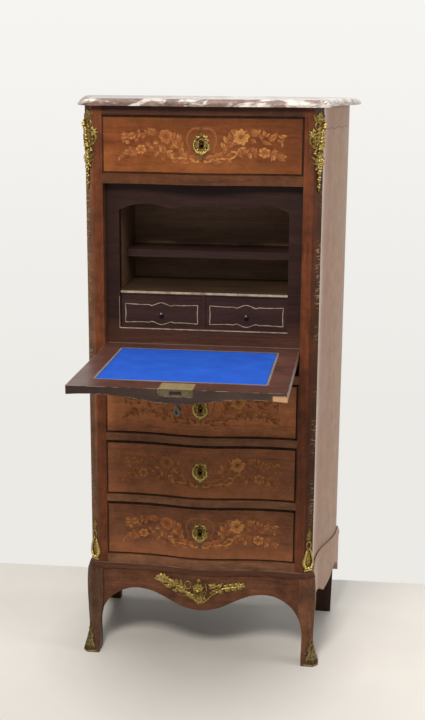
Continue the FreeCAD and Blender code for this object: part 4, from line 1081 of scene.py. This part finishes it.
# %% Keyhole plates
PLATE_CREST = 3.6
EYE, EYE_WIDE, EYE_TALL = (-0.5, 3), 7.4, 12
EYE_STEPS, SHADE_DISH_LIFT = 48, 0.4
plate = ReliefPage(
    rods=[
        (2.4, 1.6, (-3, 20), (-9, 18), (-14, 12)), (1.8, 2.6, (-12, 14), (-17, 6), (-17, -4), (-12, -12), (-6, -18)),
        (2.2, 1.5, (3, 20), (9, 19), (13, 14), (11, 8)), (1.6, 2.4, (10, 9), (15, 3), (15, -6), (10, -13), (5, -18)),
        (1.6, 1.1, (-16, 8), (-19, 12), (-16, 16), (-13, 13)), (1.6, 1.1, (14, -6), (18, -9), (18, -3), (15, -2)),
    ],
    leaves=[
        ((-7, 17), (-13, 25), 8, 2, 3.2), ((7, 17), (15, 25), 9, -2, 3.4), ((0, 16), (-1, 33), 12, 2, 2.2),
        ((4, 18), (7, 27), 7, -1, 3.0), ((11, 9), (19, 13), 8, 2, 3.2), ((12, 1), (19.5, 4), 8, -2, 3.2),
        ((11, -9), (18, -14), 8, 2, 3.0), ((-13, -7), (-18.5, -13), 8, -2, 3.0), ((-15, 2), (-20, -2), 7, -1, 3.0),
        ((-5, -10), (-11, -22), 9, -2, 3.4), ((-2, -11), (-5, -26), 9, -1, 3.6), ((0, -11), (0, -29), 10, 0, 3.8),
        ((2, -11), (5, -26), 9, 1, 3.6), ((5, -10), (10, -21), 9, 2, 3.4), ((0, -26), (0, -35), 5, 0, 2.4),
        ((-8, 16), (-8, -14), 13, -5, 2.4), ((8, 16), (8, -14), 13, 5, 2.4),
    ],
    domes=[((-9, -9), 3, 3, 3.2), ((9, 14), 2.4, 2.4, 3.2), ((8.5, -8), 2.6, 3, 3.0)],
    rings=[(EYE, EYE_WIDE, EYE_TALL, 1.3)],
)
KEYHOLE_ROUND, KEYHOLE_SLIT, KEYHOLE_FOOT = 2.6, 1.3, 8.0


def keyhole_reach(angle):
    """How far the keyhole's edge lies from the middle of its round part, in a direction."""
    if math.sin(angle) > -0.8:
        return KEYHOLE_ROUND
    return max(KEYHOLE_ROUND, min(KEYHOLE_FOOT, KEYHOLE_SLIT / max(abs(math.cos(angle)), 0.05)))


def front_middle(name):
    """The middle of a solid's front, on the cabinet's middle line."""
    low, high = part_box(name)
    return Vector((0.0, low.y, (low.z + high.z) / 2))


# A low dish fills the ring round the keyhole. It lies below the reach of the brown skin, so the finish makes it dark: a
# painted shade in the plate's open middle.
turns = [2 * math.pi * i / EYE_STEPS for i in range(EYE_STEPS + 1)]
plate.rows([[(EYE[0] + EYE_WIDE * math.cos(a), EYE[1] + EYE_TALL * math.sin(a), SHADE_DISH_LIFT) for a in turns],
            [(keyhole_reach(a) * math.cos(a), EYE[1] + keyhole_reach(a) * math.sin(a), SHADE_DISH_LIFT) for a in turns]])
RIGHT, UP = Vector((1.0, 0.0, 0.0)), Vector((0.0, 0.0, 1.0))
for number in DRAWERS:
    drawer, solid = f"drawer_{number}", f"drawer_{number}_escutcheon"
    mount(f"{drawer}_keyhole_plate", drawer, solid,
          cast(plate, skin_of(f"{drawer}_front"), front_middle(solid), RIGHT, UP, FORWARD, PLATE_CREST))
FALL_PLATE_SHARE = 0.86  # the plate on the fall is a little shorter, to stay on the board
low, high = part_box("fall_escutcheon")
origin = Vector((0.0, (low.y + high.y) / 2, low.z))
mount("fall_keyhole_plate", "fall", "fall_escutcheon",
      cast(plate, skin_of("fall_board"), origin, RIGHT, FORWARD * FALL_PLATE_SHARE, -UP, PLATE_CREST))
print("keyhole plates cast")

# %% [markdown]
# The corner mounts sit on the slanted front corners and wrap over both edges. Their page is laid square to the
# slanted face. The upper ones are tall drops: a leaf at the head, a boss between scrolls, a spray of leaves and a
# tail of beads. The lower ones are a pair of long scrolls that close to a point, standing on a rolled foot.

# %% Corner mounts
UPPER_CREST, LOWER_CREST = 10.0, 5.6
upper = ReliefPage(
    rods=[
        (2.6, 1.8, (-3, 131), (-14, 129), (-21, 119), (-19, 107), (-9, 101)),
        (2.6, 1.8, (2, 131), (-2, 120), (-3, 110), (-7, 102)),
        (4.0, 3.0, (12, 152), (18, 138), (15, 124), (17, 112), (11, 100)),
        (2.8, 2.0, (-6, 97), (-11, 90), (-7, 83), (0, 81)), (2.6, 1.8, (7, 97), (11, 89), (7, 82), (2, 80)),
    ],
    leaves=[
        ((4, 96), (4, 162), 28, 0, 5.0), ((3, 50), (3, 100), 25, 0, 5.0), ((-8, 98), (-10, 140), 17, 0, 3.2),
        ((0, 152), (2, 181), 22, 0, 5.0), ((-4, 155), (-15, 172), 12, 3, 4.4), ((6, 155), (16, 172), 12, -3, 5.0),
        ((-14, 130), (-24, 138), 9, 1, 7.0), ((-14, 130), (-26, 128), 9, -1, 7.5),
        ((-14, 129), (-23, 119), 9, -1, 7.0), ((-13, 131), (-16, 143), 9, 1, 7.0), ((8, 98), (7, 140), 20, -3, 9.5),
        ((4, 126), (14, 147), 14, -2, 9.5),
        ((-1, 98), (-18, 104), 11, 3, 6.2), ((2, 98), (18, 105), 12, -3, 9.5), ((2, 90), (2, 108), 13, 0, 9.0),
        ((0, 63), (-19, 80), 13, -4, 6.0), ((1, 63), (19, 78), 14, 4, 9.5), ((0, 61), (-16, 66), 11, -2, 6.0),
        ((0, 61), (16, 64), 12, 2, 9.0), ((2, 57), (2, 90), 15, 0, 9.0), ((2, 70), (2, 44), 17, 0, 8.5),
        ((-1, 56), (-10, 50), 9, -1, 5.4), ((1, 54), (11, 48), 9, 1, 7.5),
        ((1, 51), (1, 34), 12, 0, 8.5), ((1, 37), (1, 18), 10.5, 0, 8.0), ((1, 21), (1, 0), 9, 0, 7.0),
    ],
    domes=[((14, 147), 8, 9, 9.5, 7), ((-13, 88), 3.4, 3.4, 7.0), ((1, 49), 5, 4, 9.5), ((1, 35), 4.2, 3.6, 8.5),
           ((1, 19), 3.6, 3.2, 7.5)],
    rings=[((-5, 147), 6.5, 9, 2.2)],
)

lower = ReliefPage(
    rods=[
        *mirrored([(3.0, 4.4, (4, 58), (8, 46), (12, 32), (12.5, 20), (8, 12))]),
        (2.6, 1.8, (-3, 77), (4, 75), (6, 66), (2, 58), (-3, 57)),
        (2.2, 1.6, (-3, 77), (-6, 69), (-4, 61), (0, 56)),
        (3.2, 3.2, (-13, 3.6), (0, 4.4), (13, 3.6)),
    ],
    leaves=[
        ((0, 74), (1, 114), 13, 0, 3.8), ((0, 9), (0, 60), 18, 0, 4.6),
        *mirrored([((3, 90), (7, 103), 7, -1, 2.8), ((2, 80), (7, 90), 7, -1, 2.8)]),
    ],
    domes=[((-8, 10.5), 4.4, 4.2, 5.8), ((0, 9.5), 4.6, 4.4, 6.4), ((8, 10.5), 4.4, 4.2, 5.8)],
)

CORNER = (Vector((0.251, 0.0255, 0.0)) + Vector((0.271, 0.0415, 0.0))) / 2
SLANT_X, SLANT_Y = 0.781, 0.625
SIDES = ((1, "right"), (-1, "left"))


def corner_ways(sign):
    """Across the slanted face of a front corner, and straight out of it."""
    return Vector((sign * SLANT_X, SLANT_Y, 0.0)).normalized(), Vector((sign * SLANT_Y, -SLANT_X, 0.0)).normalized()


def corner_casts(page, node_name, crest, stray=0.0):
    """The page on the right corner and, mirrored, on the left, where it was nailed a little further out."""
    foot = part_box(node_name)[0].z
    for sign, side in SIDES:
        across, outward = corner_ways(sign)
        middle = Vector((sign * CORNER.x, CORNER.y, foot)) + across * (stray if side == "left" else 0.0)
        yield cast(page, skin_of(f"{side}_corner_post", f"{side}_side_panel"), middle, across, UP, outward, crest)


mount("upper_corner_castings", "case", "upper_corner_mounts",
      *corner_casts(upper, "upper_corner_mounts", UPPER_CREST, stray=0.001), finish=corner_gilt)
mount("lower_corner_castings", "case", "lower_corner_mounts",
      *corner_casts(lower, "lower_corner_mounts", LOWER_CREST))
print("corner mounts cast")

# %% [markdown]
# On the apron a spray opens from a pointed drop: two stems rise to the sides like wings, set with leaves above and
# below, and a ribbed shell sits in the fork. It lies on the curved apron, so its page is dropped from the front.

# %% Apron mount
APRON_CREST = 5.6
wings = ReliefPage(
    rods=[
        (2.6, 2.2, (-2, -32), (-16, -15), (-31, -4), (-47, 6)),
        (2.6, 1.8, (2, -31), (16, -21), (27, -10), (41, 1), (58, 8)),
        (3.0, 2.0, (50, 9), (80, 14), (113, 17)), (2.2, 1.6, (13, 24), (17, 8), (13, -8), (7, -16)),
        (2.0, 1.4, (-12, -4), (-10, -14), (-3, -24)), (2.0, 1.2, (20, 20), (30, 21), (40, 18)),
    ],
    leaves=[
        ((0, -32), (-3, 28), 36, 0, 2.0), ((-8, -22), (-44, 4), 15, -2, 4.4), ((-34, -4), (-66, 14), 18, -2, 5.0),
        ((-56, 10), (-90, 26), 18, -3, 5.4), ((-76, 20), (-118, 23), 25, -11, 6.4), ((-66, 8), (-91, 13), 11, 5, 4.8),
        ((-52, 0), (-71, 1), 9, 2, 4.2), ((-62, 15), (-68, 32), 9, 2, 5.0), ((-53, 11), (-58, 35), 10, 3, 5.2),
        ((-44, 8), (-46, 34), 10, 2, 5.2), ((-37, 4), (-37, 25), 9, 1, 4.6), ((-26, -8), (-40, -10), 9, 2, 3.8),
        ((20, 13), (47, 18), 13, 2, 5.0), ((30, 13), (38, 29), 11, -2, 5.0), ((42, 12), (57, 27), 11, -2, 5.0),
        ((58, 11), (70, 26), 12, -3, 5.0), ((70, 13), (84, 29), 12, -3, 5.0), ((82, 15), (98, 30), 12, -3, 5.0),
        ((94, 16), (110, 26), 11, -2, 4.8), ((92, 16), (114, 17), 11, 1, 5.0), ((60, 10), (76, 2), 12, 3, 4.8),
        ((74, 12), (92, 4), 12, 3, 4.8), ((88, 14), (106, 8), 11, 3, 4.8), ((44, 4), (60, -2), 11, 3, 4.6),
        ((24, -8), (52, 10), 14, 2, 3.4), ((0, -8), (0, -37), 18, 0, 5.0), ((8, -12), (20, -24), 9, -2, 4.0),
        ((-5, 2), (-18, 19), 11, 2, 5.0), ((-5, 2), (-11, 25), 11, 1, 5.4), ((-5, 2), (-3, 28), 11, 0, 5.6),
        ((-4, 2), (5, 25), 11, -1, 5.4), ((-4, 2), (11, 18), 11, -2, 5.0), ((-2, 24), (-3, 38), 10, 0, 4.8),
    ],
    domes=[((-5, 3), 5, 5, 4.6, 5), ((42, 2), 4.0, 4.0, 4.8, 5)],
    rings=[((-29, 17), 8, 10, 2.0)], fuller=1.3,
)
apron_skin = skin_of("front_apron", "base_board")
mount("apron_casting", "case", "apron_mount",
      cast(wings, apron_skin, front_middle("apron_mount"), RIGHT, UP, FORWARD, APRON_CREST))
print("apron mount cast")

# %% [markdown]
# Each front foot wears a sabot, a shoe of bronze: a narrow leaf runs up the slanted edge of the leg and widens to a
# scroll that hugs the toe. It is laid on the leg from the corner's own direction, so it follows the curve of the leg.

# %% Sabots
SHOE_CREST = 4.6
TOES = ((-18, 7), (-12, 5), (-6, 4), (0, 3.6), (6, 4), (12, 5), (18, 7))
shoe = ReliefPage(
    rods=[
        (1.9, 1.9, (-26, 2.6), (-14, 2.5), (0, 2.6), (14, 2.5), (26, 2.6)),
        *mirrored([(1.6, 2.2, (1, 66), (6, 56), (4, 49), (8, 40), (7, 32), (13, 20), (18, 9))]),
    ],
    leaves=[
        ((0, 40), (0, 2), 34, 0, 2.0), ((0, 60), (0, 72), 9, 0, 3.2),
        *[((tip[0] / 4, 35), tip, 9, 0, 4.2) for tip in TOES], *mirrored([((3, 33), (12, 43), 9, -2, 3.6)]),
    ],
    rings=[((0, 57), 4, 6.4, 1.8), ((0, 42), 5, 7.6, 2.0)],
)
TOE_X, TOE_Y = 0.278, 0.016
shoes = []
for sign, side in SIDES:
    across, outward = corner_ways(sign)
    toe = Vector((sign * TOE_X, TOE_Y, CASTING_WALL))
    shoes.append(cast(shoe, skin_of(f"front_{side}_leg"), toe, across, UP, outward, SHOE_CREST))
mount("sabot_castings", "case", "foot_sabots", *shoes, finish=worn_bronze)
print("sabots cast")

# %% [markdown]
# The fall carries a panel of bright blue cloth, glued down flat in a shallow bed with a pale line round it. As a
# piece of cloth it is one sheet, cut to the bed, with a very fine weave. A flat box would do for the shape, but the
# weave needs a dense enough grid to lie slightly uneven, which is what makes it look like cloth and not paint.

# %% Writing cloth
low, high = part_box("writing_panel")
ACROSS, DEEP = 48, 40
CLOTH_THICKNESS, CLOTH_PROUD, RIPPLE = 0.0012, 0.0001, 0.00012
points = []
for j in range(DEEP + 1):
    for i in range(ACROSS + 1):
        x = low.x + (high.x - low.x) * i / ACROSS
        y = low.y + (high.y - low.y) * j / DEEP
        ripple = RIPPLE * math.sin(37.0 * x + 11.0 * y) * math.sin(29.0 * y - 7.0 * x)
        points.append((x, y, high.z + CLOTH_PROUD + ripple))
faces = grid_faces(0, DEEP + 1, ACROSS + 1)
blue = Finish("blue_cloth", Roughness=0.9, Specular_IOR_Level=0.06)
threads = [blue.node("TexWave", {"Vector": blue.place, "Scale": 420.0, "Distortion": 1.5, "Detail": 2.0},
                bands_direction=axis).outputs["Fac"] for axis in ("X", "Y")]
weave = blue.maths("MULTIPLY", *threads)
rubbed = blue.noise(18.0, 5.0, 0.6)
dye = blue.ramp(rubbed, (0.3, (0.0155, 0.069, 0.38)), (0.55, (0.0185, 0.082, 0.435)), (0.75, (0.0225, 0.094, 0.475)))
dye = blue.blended(blue.span(weave, 0.0, 1.0, 0.0, 0.18), dye, (0.01, 0.05, 0.3))
blue.give(Base_Color=dye)
blue.bumped(weave, 0.0002, 0.25)
cloth = piece_of("writing_cloth", points, faces, [blue])
thickened(cloth, CLOTH_THICKNESS)
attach(cloth, "fall")
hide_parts("writing_panel")
print("cloth", round(high.x - low.x, 3), "by", round(high.y - low.y, 3), "m")

# %% [markdown]
# Pale lines of boxwood draw the edges inside: round the cloth, along the small drawers' shelf and frame, and as a
# waved cartouche on each small drawer. They are ribbons a millimetre or two wide, laid a hair above the wood.

# %% Pale lines
line_wood = Finish("boxwood_line", Roughness=0.45)
line_tone = line_wood.noise(70.0, 5.0)
line_wood.give(Base_Color=line_wood.ramp(line_tone, (0.32, (0.2, 0.13, 0.08)), (0.62, (0.44, 0.33, 0.23))))
line_wood.bumped(line_wood.noise(300.0), 0.0002, 0.1)
worn_rim = veneer("worn_rim", (0.09, 0.066, 0.056), (0.18, 0.138, 0.118), (0.28, 0.22, 0.185), "x", gloss=0.5)
HAIR, LINE_THICKNESS = 0.0002, 0.0004
RIM_OUT, RIM_WIDTH = 0.0022, 0.0048
BACK_GAP, BACK_WIDTH = 0.002, 0.0026
SHELF_DROP, SHELF_WIDTH = 0.007, 0.005
OPENING_HALF, FOOT_DROP, SIDE_RISE = 0.1982, 0.001, 0.075
FOOT_LINE_WIDTH, SIDE_LINE_WIDTH = 0.0021, 0.0009


def ribbon(name, body, lines, width, place_point, finish=line_wood):
    """Flat ribbons along smooth lines on a plane; place_point turns page points into places."""
    points, faces = [], []
    for line in lines:
        start = len(points)
        for point, way in smooth_line(line):
            side = Vector((-way.y, way.x)) * width / 2
            points += [place_point(point + side), place_point(point - side)]
        faces += [(a, a + 2, a + 3, a + 1) for a in range(start, len(points) - 2, 2)]
    made = piece_of(name, points, faces, [finish], smooth=False)
    thickened(made, LINE_THICKNESS, 0.0)
    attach(made, body)


def on_face(y):
    """Lays page points on an upright face."""
    return lambda p: (p.x, y - HAIR, p.y)


low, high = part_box("writing_panel")
xs, ys = (low.x - RIM_OUT, high.x + RIM_OUT), (low.y - RIM_OUT, high.y + RIM_OUT)
rim = [[(xs[0], y), (xs[1], y)] for y in ys] + [[(x, low.y), (x, high.y)] for x in xs]
ribbon("cloth_rim_line", "fall", rim, RIM_WIDTH, lambda p: (p.x, p.y, high.z + HAIR), worn_rim)
fall_skin, fall_low, fall_high = skin_of("fall_board"), *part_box("fall_board")
frame_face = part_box("interior_frame")[0].y
back = [(x, frame_face - BACK_GAP) for x in (fall_low.x + BACK_GAP, fall_high.x - BACK_GAP)]
ribbon("fall_back_line", "fall", [back], BACK_WIDTH,
       lambda p: dropped(fall_skin, Vector((p.x, p.y, high.z)), UP, HAIR), worn_rim)

WIDE, TALL, WAIST, DROP, CARTOUCHE_WIDTH = 0.0865, 0.0222, 0.0012, 0.0065, 0.0016
HALF_WAVE = ((WIDE, 0.0), (WIDE * 0.55, 0.0015), (0.03, 0.001), (0.022, 0.003))
WAVE = [*((-u, v - TALL) for u, v in HALF_WAVE), (0, -TALL - 0.004), *((u, v - TALL) for u, v in reversed(HALF_WAVE))]
for drawer in ("small_drawer_left", "small_drawer_right"):
    low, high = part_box(f"{drawer}_front")
    middle = Vector(((low.x + high.x) / 2, (low.z + high.z) / 2 - DROP))
    bottom, top = ([middle + Vector((u, sign * v)) for u, v in WAVE] for sign in (1, -1))
    ends = [[bottom[i], middle + Vector((u, 0)), top[i]] for i, u in ((0, WAIST - WIDE), (-1, WIDE - WAIST))]
    ribbon(f"{drawer}_line", drawer, [bottom, top, *ends], CARTOUCHE_WIDTH, on_face(low.y))
low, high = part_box("drawer_shelf")
shelf = [(x, high.z - SHELF_DROP) for x in (low.x, high.x)]
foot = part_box("interior_floor")[1].z - FOOT_DROP
corner = (-OPENING_HALF, foot)
for name, line, width, face in (
        ("shelf_edge_line", shelf, SHELF_WIDTH, low.y),
        ("frame_foot_line", [corner, (OPENING_HALF, foot)], FOOT_LINE_WIDTH, frame_face),
        ("frame_side_line", [corner, (-OPENING_HALF, foot + SIDE_RISE)], SIDE_LINE_WIDTH, frame_face)):
    ribbon(name, "case", [line], width, on_face(face))
print("pale lines laid")

# %% [markdown]
# Last, the box of the solids and the box of the dressed cabinet are printed side by side.
# The dressed cabinet has to stay inside the box of its solids.

# %% Sizes and finish
dressed_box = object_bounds()
for title, box in (("solid box", solid_box), ("dressed box", dressed_box)):
    print(title, [[round(v, 4) for v in corner] for corner in box])
